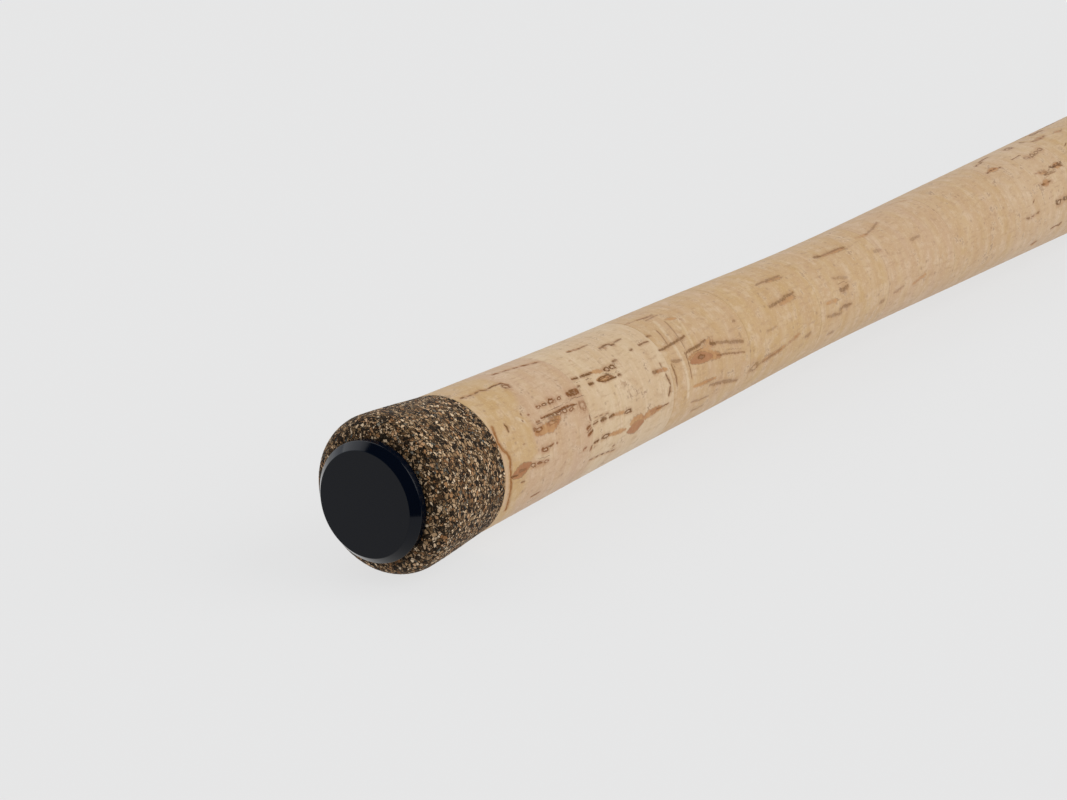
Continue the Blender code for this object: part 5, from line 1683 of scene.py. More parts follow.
@dataclass
class ReelSeat:
    """Seat tube with its saddle, keyway and thread, the two hoods, and the lock nut."""

    shop: Workshop
    radius: float = 0.0105
    wall: float = 0.0018
    hood_wall: float = 0.0013
    hood_length: float = 0.0220
    dome_length: float = 0.0198
    pocket_length: float = 0.0165
    narrowing: float = 0.3
    foot_height: float = 0.0050
    foot_half_width: float = 0.0065
    foot_corner: float = 0.0016
    lip_rounding: float = 0.00035
    band_height: float = 0.00022
    collar_length: float = 0.0050
    collar_wall: float = 0.00065
    saddle_from: float = 0.0240
    saddle_length: float = 0.0340
    saddle_level: float = 0.00941
    keyway_half_width: float = 0.0010
    keyway_depth: float = 0.0010
    key_length: float = 0.0120
    thread_from: float = 0.0640
    thread_end_room: float = 0.0020
    thread_pitch: float = 0.0030
    thread_depth: float = 0.00042
    thread_fade: float = 0.0015
    nut_radius: float = 0.0138
    nut_chamfer: float = 0.0006
    nut_shoulder: float = 0.0051
    nut_groove_at: float = 0.0024
    nut_groove_depth: float = 0.00022
    flutes: int = 8
    flute_depth: float = 0.0009
    flute_ease: float = 0.0022
    flute_sides: tuple[float, float] = (math.radians(5), math.radians(17))
    rim: float = 0.0002
    hood_grooves: tuple[float, float] = (0.0200, 0.0209)
    hood_groove_depth: float = 0.00014

    def tube(self) -> None:
        """Seat tube: round, with a flat for the reel's foot, a keyway opposite, and a coarse thread.

        At each station the loop runs over the keyway's floor, up its walls and round the circle. The
        thread lowers the circle wherever x/pitch - angle/turn falls in the valley half of a turn.
        """
        low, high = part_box("seat_tube")
        start, end = low.x, high.x
        flat, thread = start + self.saddle_from, start + self.thread_from
        front = flat + self.saddle_length
        wall, rim = 0.00002, self.rim
        x = stations(
            (start, flat - rim, 0.002), (flat, flat + wall, wall), (flat + rim, front - rim, 0.004),
            (front, front + wall, wall), (front + rim, thread, 0.001), (thread, end - rim, 0.00013),
            (end - rim, end, 0.00005),
        )
        half = self.keyway_half_width
        floor = np.linspace(-half, half, 5)
        key = math.asin(1.06 * half / self.radius)
        lip = math.acos(self.saddle_level / self.radius)
        lips = math.pi + lip * np.array((-1.01, -0.99, 0.99, 1.01))
        circle = np.unique(np.concatenate((np.linspace(key, TAU - key, 150), lips)))
        angle = np.concatenate((np.arcsin(floor / self.radius), circle))
        away = np.abs((x[:, None] / self.thread_pitch - angle / TAU) % 1.0 - 0.5)
        last = end - self.thread_end_room
        cut_in = smooth_step(thread, thread + self.thread_fade, x)
        cut_out = smooth_step(last, last - self.thread_fade, x)
        depth = self.thread_depth * (cut_in * cut_out)[:, None]
        radius = self.radius - depth * smooth_step(0.30, 0.15, away)
        radius -= np.where((x > end - rim) | (x < start + rim), rim / 2, 0.0)[:, None]
        y, z = radius * np.cos(angle), radius * np.sin(angle)
        cut = x > flat + wall / 2
        y[cut, :5] = self.radius - self.keyway_depth
        level = -np.where(cut & (x < front + wall / 2), self.saddle_level, self.radius)[:, None]
        y[:, 5:] = np.maximum(y[:, 5:], level)
        outside = np.stack((np.broadcast_to(x[:, None], y.shape), y, z), axis=-1)
        bore = polar_grid((end, start), angle, np.full((2, len(angle)), self.radius - self.wall), 1)
        shell = Shell.from_grid(np.concatenate((outside, bore)))
        self.shop.dress("seat_barrel", shell, "graphite", "seat_tube", 50.0)

    def _hood_rows(self, x: Array, inset: Array, inside: bool, angle: Array) -> Array:
        """Radii of a hood's outside or pocket, drawn in by an inset at each station from its mouth.

        Args:
            x: stations from the mouth.
            inset: how far each row is drawn in.
            inside: whether this is the pocket.
            angle: polar angles.

        Returns:
            Radii, rows by angles.
        """
        wall, length = (0.0, self.pocket_length) if inside else (self.hood_wall, self.dome_length)
        share = np.clip(x / length, 0.0, 1.0)
        round_part = self.radius + GAP + wall - inset
        top = round_part + self.foot_height * np.cos(math.pi / 2 * share)
        half = (self.foot_half_width + wall) * (1 - self.narrowing * share**2) - inset
        return taut_radius(angle, round_part, top, half, self.foot_corner + wall - inset)

    def hood(self, name: str, node: str, forward: bool, collar: bool) -> None:
        """Hood with a pocket for one end of the reel's foot, a raised band at its mouth, and grooves.

        Args:
            name: the piece's name.
            node: the CAD node that it stands for.
            forward: whether its mouth opens along +X.
            collar: whether it has the narrow end that the lock nut turns on, and a key in its bore.
        """
        angle, turn = around(240), quarter(6)[::-1]
        lip, end, rim, bore = self.lip_rounding, self.hood_length, self.rim, self.radius + GAP
        x = stations((lip, self.dome_length, 0.0004), (self.dome_length, end, 0.0001))
        inset = -self.band_height * smooth_step(0.0004, 0.0007, x) * smooth_step(0.0024, 0.0021, x)
        for groove in self.hood_grooves:
            inset += self.hood_groove_depth * smooth_step(0.00022, 0.0001, np.abs(x - groove))
        inset += lip * (1 - np.sqrt(1 - smooth_step(end - lip, end, x) * 0.96))
        out_x = np.concatenate((lip * (1 - np.sin(turn)), x))
        out = self._hood_rows(out_x, np.concatenate((lip * (1 - np.cos(turn)), inset)), False, angle)
        if collar:
            neck, far = bore + self.collar_wall, end + self.collar_length
            out_x = np.concatenate((out_x, (end, end + rim / 2, far - rim, far)))
            collar_rows = np.array((neck, neck, neck, neck - rim))[:, None]
            out = np.vstack((out, np.tile(collar_rows, len(angle))))
            end = far
        x = stations((rim, self.pocket_length, 0.0004), (self.pocket_length, end, 0.003))
        in_x = np.append(x[::-1], 0.0)
        inner = self._hood_rows(in_x, np.where(in_x == 0.0, -rim, 0.0), True, angle)
        shell = Shell.from_grid(
            np.concatenate((polar_grid(out_x, angle, out, -1), polar_grid(in_x, angle, inner, -1))))
        if collar:
            low, high = self.radius - self.keyway_depth + GAP, bore + self.hood_wall / 2
            ends = [(at, (low + high) / 2, 0.0)
                    for at in (self.hood_length - self.key_length, self.hood_length - GAP)]
            wide = 2 * (self.keyway_half_width - GAP)
            shell = Shell.joined([shell, sweep(np.linspace(*ends, 6), Z_AXIS, wide, high - low, 8.0, 16)])
        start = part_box(node)[0].x
        shell = shell.placed(start + self.hood_length, -1, -1) if forward else shell.placed(start)
        self.shop.dress(name, shell, "black_anodised", node)

    def nut(self) -> None:
        """Lock nut: a ring with rounded flutes, broken edges and a groove, and a skirt over the collar."""
        low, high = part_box("lock_nut")
        length, chamfer, bore = high.x - low.x, self.nut_chamfer, self.radius + GAP
        skirt = bore + self.collar_wall + 2 * GAP
        angle, turn = around(320), quarter(7)
        ease, drop = chamfer * (1 - np.cos(turn)), chamfer * (1 - np.sin(turn))
        x = stations((chamfer, length - chamfer, 0.00016))
        from_groove = np.abs(x - (length - self.nut_groove_at))
        groove = self.nut_groove_depth * smooth_step(0.0003, 0.00012, from_groove)
        x = np.concatenate((ease, x, length - ease[::-1]))
        radius = self.nut_radius - np.concatenate((drop, groove, drop[::-1]))
        pitch = TAU / self.flutes
        flute = smooth_step(*self.flute_sides, np.abs((angle + pitch / 4) % pitch - pitch / 2))
        ends = smooth_step(0.0, self.flute_ease, x) * smooth_step(length, length - self.flute_ease, x)
        out = radius[:, None] - self.flute_depth * (0.45 + 0.55 * ends)[:, None] * flute
        inner = np.array((
            (length, bore + 0.0003), (length - 0.0003, bore), (self.nut_shoulder, bore),
            (self.nut_shoulder, skirt), (self.rim, skirt), (0.0, skirt + self.rim),
        ))
        grid = (polar_grid(x, angle, out, -1),
                polar_grid(inner[:, 0], angle, np.tile(inner[:, 1:], len(angle)), -1))
        shell = Shell.from_grid(np.concatenate(grid)).placed(low.x)
        self.shop.dress("knurl_nut", shell, "black_anodised", "lock_nut")

    def make(self) -> None:
        """Makes the whole reel seat."""
        self.tube()
        self.hood("rear_hood", "fixed_hood", forward=True, collar=False)
        self.hood("front_hood", "sliding_hood", forward=False, collar=True)
        self.nut()
        self.shop.keep("seat_arbor", "cork")


@dataclass
class Wraps:
    """Thread wraps: ridges a pitch apart, under epoxy that thins at both ends."""

    shop: Workshop
    blank: Blank
    wall: float = 0.0006
    end_wall: float = 0.0002
    lead: float = 0.0040
    ramp: float = 0.0012
    corner: float = 0.0005
    pitch: float = 0.0003
    ridge: float = 0.000022
    row: float = 0.00006
    trim_width: float = 0.0012
    trim_inset: float = 0.0014

    def _dress(self, name: str, node: str, grid: Array, outside: int, x: Array, trim: Array) -> None:
        """Adds the ridges to a wrap's outside and dresses it.

        Args:
            name: the piece's name.
            node: the CAD node that it stands for.
            grid: its rows of points, outside first.
            outside: how many of the rows are outside.
            x: station of each outside row.
            trim: amount of trim thread on each outside row.
        """
        angle = np.arctan2(grid[:outside, :, 2], grid[:outside, :, 1])
        wave = 0.5 - 0.5 * np.cos(TAU * (x[:, None] / self.pitch + angle / TAU))
        size = np.hypot(grid[:outside, :, 1], grid[:outside, :, 2])
        grid[:outside, :, 1:] *= (1 - self.ridge * wave / size)[..., None]
        shell = Shell.from_grid(grid)
        layer = np.zeros(len(shell.points))
        layer[:outside * grid.shape[1]] = np.repeat(trim, grid.shape[1])
        self.shop.dress(name, shell, "thread_wrap", node, 60.0, trim=layer)

    def _wall(self, away: Array) -> Array:
        """Thickness at a distance from the nearer end."""
        rise = np.sin(math.pi / 2 * np.clip(away / self.ramp, 0.0, 1.0))
        return self.end_wall + (self.wall - self.end_wall) * rise

    def _trim(self, distance: Array) -> Array:
        """Amount of trim at a distance from the wrap's open end."""
        middle = self.trim_inset + self.trim_width / 2
        return (np.abs(distance - middle) < self.trim_width / 2).astype(float)

    def plain(self, name: str, node: str, trim_front: bool) -> None:
        """Wrap on the bare blank.

        Args:
            name: the piece's name.
            node: the CAD node that it stands for.
            trim_front: whether the trim lies near its front end and not its rear end.
        """
        low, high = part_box(node)
        x = stations((low.x, high.x, self.row))
        bore = np.array([self.blank.bore(v) for v in x])
        out = bore + self._wall(np.minimum(x - low.x, high.x - x))
        angle = around(64)
        outer = polar_grid(x, angle, np.tile(out[:, None], len(angle)), -1)
        inner = polar_grid(x[[-1, 0]], angle, np.tile(bore[[-1, 0], None], len(angle)), -1)
        distance = high.x - x if trim_front else x - low.x
        self._dress(name, node, np.concatenate((outer, inner)), len(x), x, self._trim(distance))

    def over_foot(self, name: str, node: str, at: float, foot: tuple[float, float, float, float],
                  sign: int, facing: int) -> None:
        """Wrap pulled tight over the blank and a foot, from beside the leg to past the foot's tip.

        Args:
            name: the piece's name.
            node: the CAD node that it stands for.
            at: station of its edge beside the leg.
            foot: the foot's length under the wrap, half width, height of its base and thickness.
            sign: 1 when it runs to the front, -1 to the rear.
            facing: -1 on the guides' side, 1 on the far side.
        """
        length, half_width, base, thickness = foot
        reach = length + self.lead
        local = stations((0.0, reach, self.row))
        full, tip = 0.40 * length, 0.30 * thickness
        height = np.interp(local, (0.0, full, length + GAP, reach - 1.4 * self.ramp, reach),
                           (thickness, thickness, tip, tip - 0.0016, tip - 0.0016))
        wall = self._wall(np.minimum(local * 0.6, reach - local))
        tube = np.array([self.blank.bore(at + sign * v) for v in local])
        narrow = half_width * np.interp(local, (0.0, full, length, reach), (1.0, 1.0, 0.7, 0.3)) + GAP
        angle = around(72)
        x = at + sign * local
        outer = taut_radius(angle, tube + wall, base + height + GAP + wall, narrow + wall, self.corner + wall)
        keep = np.unique(np.concatenate((np.arange(0, len(local), 12), (len(local) - 1,))))[::-1]
        inner = taut_radius(angle, tube[keep], (base + height + GAP)[keep], narrow[keep],
                            np.full(len(keep), self.corner))
        grid = (polar_grid(x, angle, outer, facing), polar_grid(x[keep], angle, inner, facing))
        self._dress(name, node, np.concatenate(grid), len(x), x, self._trim(reach - local))


@dataclass
class Sections:
    """Both sections of the blank, and the ferrule that joins them."""

    shop: Workshop
    blank: Blank
    wraps: Wraps
    grip_length: float = 0.0300
    taper_length: float = 0.0120
    socket_wall: float = 0.0010
    edge_wall: float = 0.0005
    welt_length: float = 0.0040
    welt_height: float = 0.0009
    line_depth: float = 0.00014
    lines: tuple[float, ...] = (0.0150, 0.0166, 0.0182)
    welt_lines: tuple[float, ...] = (0.0034, 0.0018)
    plug_radius: float = 0.0047
    plug_chamfer: float = 0.0005
    plug_length: float = 0.0420
    collar_length: float = 0.0030

    def tube(self, name: str, node: str, tip_wall: float) -> None:
        """One tapered section of the blank.

        Args:
            name: the piece's name.
            node: the CAD node that it stands for.
            tip_wall: the wall's thickness at its front end.
        """
        low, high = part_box(node)
        x = stations((low.x, high.x, 0.006))
        outer = np.array([self.blank.radius(v) for v in x])
        bore = ((high.x, outer[-1] - tip_wall), (low.x, outer[0] - self.blank.wall))
        shell = revolve(np.vstack((np.stack((x, outer), axis=-1), bore)), 96)
        self.shop.dress(name, shell, "blank_varnish", node)

    def socket(self) -> None:
        """Ferrule socket: a tapered grip with turned lines, a straight tube, and a welt at its mouth."""
        low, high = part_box("ferrule_socket")
        x, end = low.x, high.x
        grip, mouth = self.blank.bore(x), self.plug_radius + GAP
        outer = max(grip, mouth) + self.socket_wall
        step, welt, top = x + self.grip_length + GAP, end - self.welt_length, outer + self.welt_height
        floor = outer - self.line_depth
        corners = [(x, grip + self.edge_wall, 0.0002), (x + self.taper_length, outer, 0.003)]
        for at in [x + line for line in self.lines] + [welt - line for line in self.welt_lines]:
            corners += [(at, outer, 0.00005), (at + 0.0001, floor, 0.00003), (at + 0.0003, floor, 0.00003),
                        (at + 0.0004, outer, 0.00005)]
        corners += [
            (welt, outer, 0.0001), (welt, top, 0.0006), (end, top, 0.0006), (end, mouth, 0.0002),
            (step, mouth, 0.0), (step, grip, 0.0), (x, grip, 0.0),
        ]
        shell = revolve(rounded(corners, 6), 128)
        self.shop.dress("female_ferrule", shell, "black_anodised", "ferrule_socket")

    def plug(self) -> None:
        """Ferrule plug: a lapped plug with its edge broken, a collar, and a sleeve on the tip blank."""
        low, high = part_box("ferrule_plug")
        x, end = low.x, high.x
        shoulder = x + self.plug_length
        grip = self.blank.bore(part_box("ferrule_socket")[0].x)
        collar = max(grip, self.plug_radius + GAP) + self.socket_wall
        front = shoulder + self.collar_length
        sleeve = self.blank.bore(front + GAP)
        radius, chamfer, relief = self.plug_radius, self.plug_chamfer, self.plug_radius - 0.0002
        corners = [
            (x, radius - 0.0012, 0.0), (x, radius - chamfer, 0.0001), (x + chamfer, radius, 0.0002),
            (shoulder - 0.0006, radius, 0.00005), (shoulder - 0.0005, relief, 0.00005),
            (shoulder, relief, 0.0), (shoulder, collar, 0.0004), (front, collar, 0.0005),
            (front, sleeve + self.socket_wall, 0.0001), (end, sleeve + self.edge_wall, 0.0002),
            (end, sleeve, 0.0), (front, sleeve, 0.0),
        ]
        shell = revolve(rounded(corners, 6, ring=False), 128, ring=False)
        self.shop.dress("male_ferrule", shell, "black_anodised", "ferrule_plug")

    def make(self) -> None:
        """Makes both sections and the ferrule."""
        self.tube("butt_tube", "butt_blank", self.blank.wall)
        self.tube("tip_tube", "tip_blank", self.blank.tip_wall)
        self.socket()
        self.plug()
        self.wraps.plain("socket_binding", "socket_wrap", trim_front=False)
        self.wraps.plain("plug_binding", "plug_wrap", trim_front=True)
        self.wraps.plain("tip_binding", "tip_wrap", trim_front=False)


@dataclass(frozen=True)
class GuideSize:
    """Sizes of one line guide. Its rise is from the blank's surface to the hoop's underside."""

    name: str
    hoop_radius: float
    hoop_wall: float
    hoop_length: float
    ring_wall: float
    rise: float
    reach: float
    foot_length: float
    bar: float
    two_feet: bool


@dataclass
class LineGuides:
    """Guides and tip ring: round hoops on bent legs, with a hard ring in each hoop."""

    shop: Workshop
    blank: Blank
    wraps: Wraps
    leg_angle: float = math.radians(52)
    foot_width_share: float = 1.5
    foot_thickness_share: float = 0.6
    tip_tube_length: float = 0.0120
    tip_tube_wall: float = 0.0006
    tip_weld: tuple[float, float, float] = (0.0014, 0.0004, 0.0009)
    tip_brace_setback: float = 0.0085

    SIZES = (
        GuideSize("guide_1", 0.0139, 0.0010, 0.0022, 0.0019, 0.0080, 0.0150, 0.0150, 0.0019, True),
        GuideSize("guide_2", 0.0106, 0.0009, 0.0020, 0.0016, 0.0065, 0.0125, 0.0130, 0.0017, True),
        GuideSize("guide_3", 0.0082, 0.0008, 0.0018, 0.0013, 0.0055, 0.0105, 0.0110, 0.0015, True),
        GuideSize("guide_4", 0.0070, 0.0007, 0.0016, 0.0011, 0.0050, 0.0092, 0.0100, 0.0013, False),
        GuideSize("guide_5", 0.0063, 0.0006, 0.0015, 0.0010, 0.0045, 0.0084, 0.0090, 0.0012, False),
        GuideSize("guide_6", 0.0058, 0.0006, 0.0014, 0.0009, 0.0040, 0.0076, 0.0085, 0.0011, False),
    )
    TIP = GuideSize("tip", 0.0056, 0.0006, 0.0014, 0.0009, 0.0, 0.0, 0.0, 0.0011, False)

    def hoop(self, size: GuideSize, at: float, rise: float) -> Shell:
        """Metal hoop with rounded corners.

        Args:
            size: The guide's sizes.
            at: Station.
            rise: Height of its centre.

        Returns:
            The closed surface.
        """
        half, r, wall = size.hoop_length / 2, size.hoop_radius, size.hoop_wall
        corners = [(at - half, r - wall, wall * 0.1), (at - half, r, wall * 0.4),
                   (at + half, r, wall * 0.4), (at + half, r - wall, wall * 0.1)]
        return revolve(rounded(corners, 5), 128, rise)

    def line_ring(self, size: GuideSize, at: float, rise: float) -> Shell:
        """Hard ring whose bore is crowned like half an ellipse, and whose sides stand a little proud.

        Args:
            size: The guide's sizes.
            at: Station.
            rise: Height of its centre.

        Returns:
            The closed surface.
        """
        half, r, wall = size.hoop_length / 2 + 0.00018, size.hoop_radius - size.hoop_wall, size.ring_wall
        turn = np.linspace(0.0, math.pi, 25)
        crown = np.stack((at + half * np.cos(turn), r - wall * (0.45 + 0.55 * np.sin(turn))), axis=-1)
        outer = np.array(((at - half, r - 0.35 * wall), (at - half + 0.0001, r - 0.00022),
                          (at - half + 0.0002, r - 0.00002), (at + half - 0.0002, r - 0.00002),
                          (at + half - 0.0001, r - 0.00022), (at + half, r - 0.35 * wall)))
        return revolve(np.vstack((outer, crown)), 128, rise)

    def leg(self, at: float, angle: float, rise: float, size: GuideSize, spot: tuple[float, float, float],
            foot_width: float, thickness: float) -> list[Shell]:
        """Bent leg from the hoop's flank down to a foot, and the weld at its head.

        Its path is a quadratic curve, and its width turns from the hoop's tangent to the level.

        Args:
            at: station of the hoop.
            angle: place on the hoop, from its underside.
            rise: the hoop's height over the axis.
            size: the guide's sizes.
            spot: where it lands, from the hoop's station.
            foot_width: its width where it lands.
            thickness: its thickness where it lands.

        Returns:
            The leg and its weld.
        """
        on_hoop = size.hoop_radius - size.hoop_wall / 2
        start = np.array((0.0, -(rise - on_hoop * math.cos(angle)), on_hoop * math.sin(angle)))
        tangent = np.array((0.0, -math.sin(angle), math.cos(angle)))
        control = start + (np.array(spot) - start) * (0.5, 0.8, 0.0)
        control[2] = start[2] * 0.35
        path = bent(start, control, np.array(spot), 28) + (at, 0.0, 0.0)
        t = np.linspace(0.0, 1.0, len(path))
        across = tangent + (Z_AXIS - tangent) * t[:, None]
        head = size.hoop_wall * 0.75
        thick = (head + (thickness - head) * t) * (1 + 0.25 * np.sin(math.pi * t))
        weld = ellipsoid(path[0], size.bar * np.array((0.42, 0.30, 0.42)))
        return [sweep(path, across, foot_width * (0.8 + 0.2 * t), thick, 2.8), weld]

    def foot(self, at: float, sign: int, size: GuideSize, base: float) -> Shell:
        """Flat foot, ground thin towards its rounded tip.

        Args:
            at: Station of the ring.
            sign: 1 for the front foot, -1 for the rear one.
            size: The guide's sizes.
            base: Height of the underside.

        Returns:
            The closed surface.
        """
        width, thickness = self.foot_width_share * size.bar, self.foot_thickness_share * size.bar
        toe = width * 0.6
        t = np.concatenate((np.linspace(0.0, 0.96, 30), (0.98, 0.992, 0.998)))
        x = size.reach - toe + (size.foot_length + toe) * t
        marks = (size.reach - toe, size.reach + size.foot_length * 0.4, size.reach + size.foot_length)
        wide = np.interp(x, marks, (width * 0.8, width, toe))
        thick = np.interp(x, marks, (thickness, thickness, thickness * 0.3))
        wide = wide * np.sqrt(1 - smooth_step(0.9, 1.02, t) * 0.75)
        path = np.stack((at + sign * x, -(base + thick / 2), np.zeros(len(x))), axis=-1)
        return sweep(path, Z_AXIS, wide, thick, 3.0)

    def guide(self, size: GuideSize) -> None:
        """One guide with its ring and wraps.

        Args:
            size: The guide's sizes.
        """
        ring_low, ring_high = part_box(size.name + "_ring")
        at = (ring_low.x + ring_high.x) / 2
        rise = self.blank.radius(at) + size.rise + size.hoop_radius
        base = self.blank.bore(at - size.reach - size.foot_length)
        foot_width = self.foot_width_share * size.bar
        foot_thickness = self.foot_thickness_share * size.bar
        signs = (1, -1) if size.two_feet else (1,)
        shells = [self.hoop(size, at, rise)] + [self.foot(at, sign, size, base) for sign in signs]
        landing, level = size.reach + size.bar * 0.3, -(base + foot_thickness / 2)
        paired = -1 if size.two_feet else 1
        legs = [(side * self.leg_angle, (paired * landing, level, side * size.bar / 4), 0.8)
                for side in (1, -1)]
        if size.two_feet:
            legs.append((0.0, (landing, level, 0.0), 1.1))
        for angle, spot, share in legs:
            shells += self.leg(at, angle, rise, size, spot, size.bar * share, foot_thickness * 0.8)
        name = size.name
        self.shop.dress(name + "_bridge", Shell.joined(shells), "guide_steel", name + "_frame")
        self.shop.dress(name + "_liner", self.line_ring(size, at, rise), "guide_ceramic", name + "_ring")
        inset = size.reach + size.bar
        foot = (size.foot_length - size.bar, foot_width / 2, base, foot_thickness)
        for sign, end in zip(signs, ("front", "rear")):
            self.wraps.over_foot(f"{name}_{end}_binding", f"{name}_wrap_{end}", at + sign * inset, foot,
                                 sign, -1)

    def tip(self) -> None:
        """Tip ring: a closed tube over the blank's end, a hoop on it and two braces."""
        low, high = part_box("tip_ring")
        at = (low.x + high.x) / 2
        size = self.TIP
        end = at + size.hoop_length / 2 - size.hoop_length / 3
        rear = end - self.tip_tube_length
        bore = self.blank.bore(rear)
        outer = bore + self.tip_tube_wall
        rise = outer + size.hoop_radius - size.hoop_wall / 2
        corners = [(end - self.tip_tube_wall, bore, 0.0), (rear, bore, 0.0001), (rear, outer, 0.0002),
                   (end, outer, 0.0004), (end, outer / 2, 0.0)]
        shells = [revolve(rounded(corners, 5, ring=False), 64, ring=False), self.hoop(size, at, rise)]
        for side in (1, -1):
            spot = (-self.tip_brace_setback, -(bore + self.tip_tube_wall / 2), side * size.bar / 4)
            shells += self.leg(at, side * self.leg_angle, rise, size, spot, size.bar * 0.8,
                               self.tip_tube_wall * 0.8)
        shells.append(ellipsoid((at - 0.0006, -outer, 0.0), self.tip_weld))
        self.shop.dress("tip_bridge", Shell.joined(shells), "guide_steel", "tip_frame")
        self.shop.dress("tip_liner", self.line_ring(size, at, rise), "guide_ceramic", "tip_ring")

    def make(self) -> None:
        """Makes all the guides and the tip ring."""
        for size in self.SIZES:
            self.guide(size)
        self.tip()


@dataclass
class HookKeeper:
    """Wire bow on the far side of the blank, tied down by a wrap at each end."""

    shop: Workshop
    blank: Blank
    wraps: Wraps
    wire: float = 0.0006
    rise: float = 0.0062
    half_span: float = 0.0042
    bend: float = 0.0015
    foot_length: float = 0.0080

    def make(self) -> None:
        """Makes the bow and its wraps."""
        low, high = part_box("hook_keeper")
        at = (low.x + high.x) / 2
        base = self.blank.bore(at - self.half_span - self.foot_length)
        tip = 0.6 * self.wire
        inset = self.half_span + self.bend + GAP
        length = self.half_span + self.foot_length - inset
        top = base + self.rise
        turn = 1.5 * self.bend
        half = [(self.half_span + self.foot_length, base + tip / 2, 0.0),
                (inset + 0.4 * length, base + self.wire, 0.0008),
                (self.half_span, base + self.wire, turn), (self.half_span, top, turn)]
        corners = [(-x, y, rounding) for x, y, rounding in half] + half[::-1]
        line = rounded(corners, 10, ring=False)
        path = np.stack((line[:, 0] + at, line[:, 1], np.zeros(len(line))), axis=-1)
        marks = (inset + 0.4 * length, self.half_span + self.foot_length)
        thick = np.interp(np.abs(line[:, 0]), marks, (2 * self.wire, tip))
        bow = sweep(path, Z_AXIS, 2 * self.wire, thick, 2.0)
        self.shop.dress("keeper_bow", bow, "guide_steel", "hook_keeper")
        foot = (length, self.wire, base, 2 * self.wire)
        self.wraps.over_foot("keeper_front_binding", "keeper_wrap_front", at + inset, foot, 1, 1)
        self.wraps.over_foot("keeper_rear_binding", "keeper_wrap_rear", at - inset, foot, -1, 1)


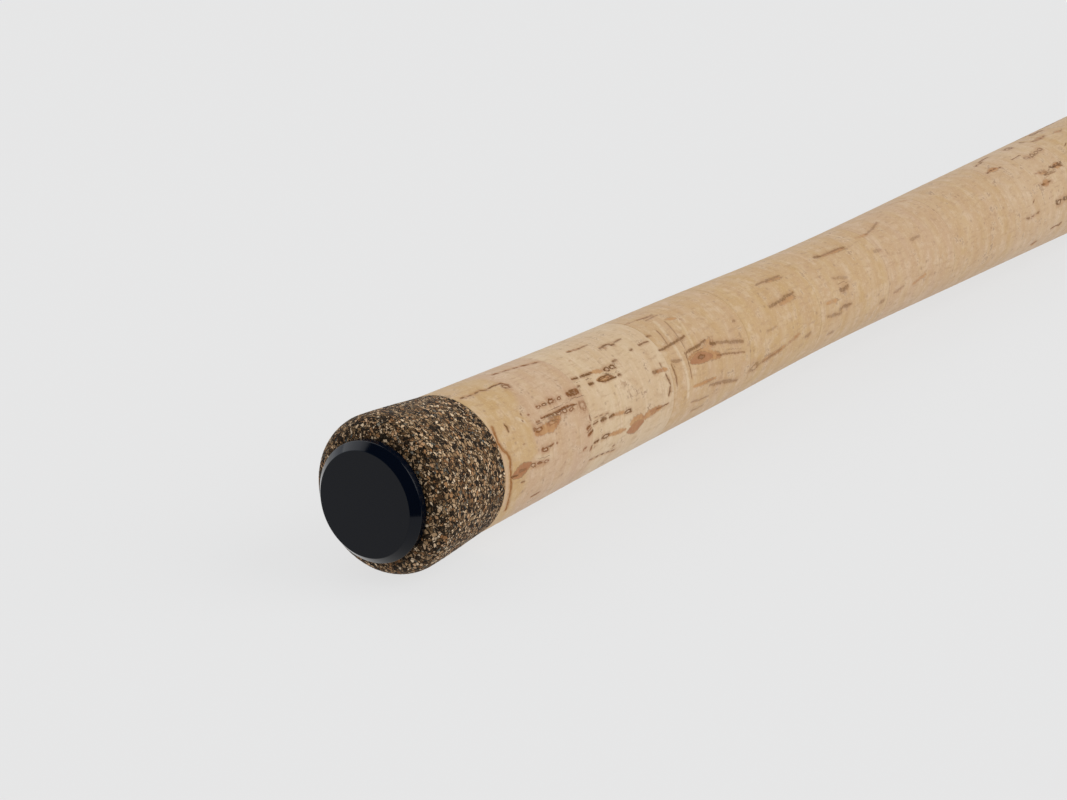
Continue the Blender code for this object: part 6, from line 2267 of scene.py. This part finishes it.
@dataclass
class Studio:
    """Pale floor, soft light and the background's grey."""

    grey: float = 0.791
    floor_drop: float = 0.01440
    floor_half: float = 12.0
    floor_shade: float = 0.80
    shadow_share: float = 0.12
    bounce: float = 0.85
    bounce_colour: Colour = (0.95, 0.98, 1.06)
    card_from: float = 0.043
    card_edge: float = 0.002
    card_toward: tuple[float, float] = (-0.45, -0.89)
    card_colour: Colour = (0.010, 0.010, 0.012)
    dark_toward: Colour = (-0.35, -0.55, 0.75)

    def floor(self) -> None:
        """Pale floor that keeps a soft part of the object's shadow.

        Gloss alone sees a dark card on it, on the camera's side, as the cap does in the photograph. What
        the floor throws back on the object is a little lighter and cooler than the floor itself.
        """
        half = self.floor_half
        mesh = bpy.data.meshes.new("floor")
        corners = ((-half, -half), (half, -half), (half, half), (-half, half))
        mesh.from_pydata([(x, y, -self.floor_drop) for x, y in corners], [], [(0, 1, 2, 3)])
        material = bpy.data.materials.new("floor_paint")
        material.use_nodes = True
        graph = Graph(material.node_tree)
        shade = (self.floor_shade,) * 3
        shader = Finish.feed(material, dict(base_color=shade, roughness=0.9, specular_ior_level=0.0))
        toward = graph.node("TexCoord")["Object"].along((*self.card_toward, 0.0))
        ray = graph.node("LightPath")
        card = toward.rising(self.card_from, self.card_from + self.card_edge) * ray["Is Glossy Ray"]
        colour = graph.mix(card, (self.grey,) * 3, self.card_colour)
        colour = graph.mix(ray["Is Diffuse Ray"], colour, self.bounce_colour)
        glow = graph.node("Emission", {"Color": colour, "Strength": 1.0})
        gloss = ray["Is Glossy Ray"].math("MAXIMUM", ray["Is Transmission Ray"])
        seen = ray["Is Camera Ray"].scaled(1.0 - self.shadow_share, gloss)
        seen = ray["Is Diffuse Ray"].scaled(self.bounce, seen)
        mixed = graph.node("MixShader", {0: seen, 1: graph.outputs(shader)[0], 2: glow[0]})
        plug(mixed[0], material.node_tree.nodes["Material Output"].inputs["Surface"])
        mesh.materials.append(material)
        floor = bpy.data.objects.new("floor", mesh)
        bpy.context.scene.collection.objects.link(floor)

    def world(self) -> None:
        """Soft light from all round, with a dark side behind the camera that only gloss shows."""
        world = bpy.data.worlds.new("studio")
        bpy.context.scene.world = world
        world.use_nodes = True
        graph = Graph(world.node_tree)
        ray = graph.node("LightPath")
        dark = graph.node("TexCoord")["Generated"].along(self.dark_toward).rising(0.12, 0.45)
        gloss = graph.mix(dark, (0.90, 0.94, 1.00), (0.012, 0.012, 0.015))
        soft = graph.mix(ray["Is Glossy Ray"], (0.60, 0.61, 0.63), gloss)
        colour = graph.mix(ray["Is Camera Ray"], soft, (self.grey,) * 3)
        plug(colour, world.node_tree.nodes["Background"].inputs["Color"])
        plug(1.0, world.node_tree.nodes["Background"].inputs["Strength"])

    def sun(self, name: str, toward: Colour, strength: float, spread_degrees: float) -> None:
        """Even light from far away, soft because its source is wide.

        Args:
            name: the lamp's name.
            toward: direction to the source.
            strength: its strength in watts a square metre.
            spread_degrees: width of the source.
        """
        data = bpy.data.lights.new(name, "SUN")
        data.energy = strength
        data.angle = math.radians(spread_degrees)
        lamp = bpy.data.objects.new(name, data)
        lamp.rotation_euler = (-Vector(toward)).to_track_quat("-Z", "Y").to_euler()
        bpy.context.scene.collection.objects.link(lamp)

    def make(self) -> None:
        """Sets the whole studio up."""
        self.floor()
        self.world()
        self.sun("right_soft_light", (0.45, -0.70, 0.55), 1.55, 50.0)
        self.sun("left_soft_light", (0.30, 0.75, 0.80), 0.60, 60.0)


def main() -> None:
    logging.basicConfig(level=logging.INFO, format="%(name)s: %(message)s")
    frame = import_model()
    bpy.context.scene.view_settings.view_transform = "Standard"
    camera = PhotoCamera()
    camera.set_up()
    shop = Workshop(frame)
    blank = Blank()
    Handle(shop, blank, camera).make()
    ReelSeat(shop).make()
    wraps = Wraps(shop, blank)
    Sections(shop, blank, wraps).make()
    LineGuides(shop, blank, wraps).make()
    HookKeeper(shop, blank, wraps).make()
    Studio().make()
    log.info("%d pieces made", shop.made)


if __name__ == "__main__":
    main()
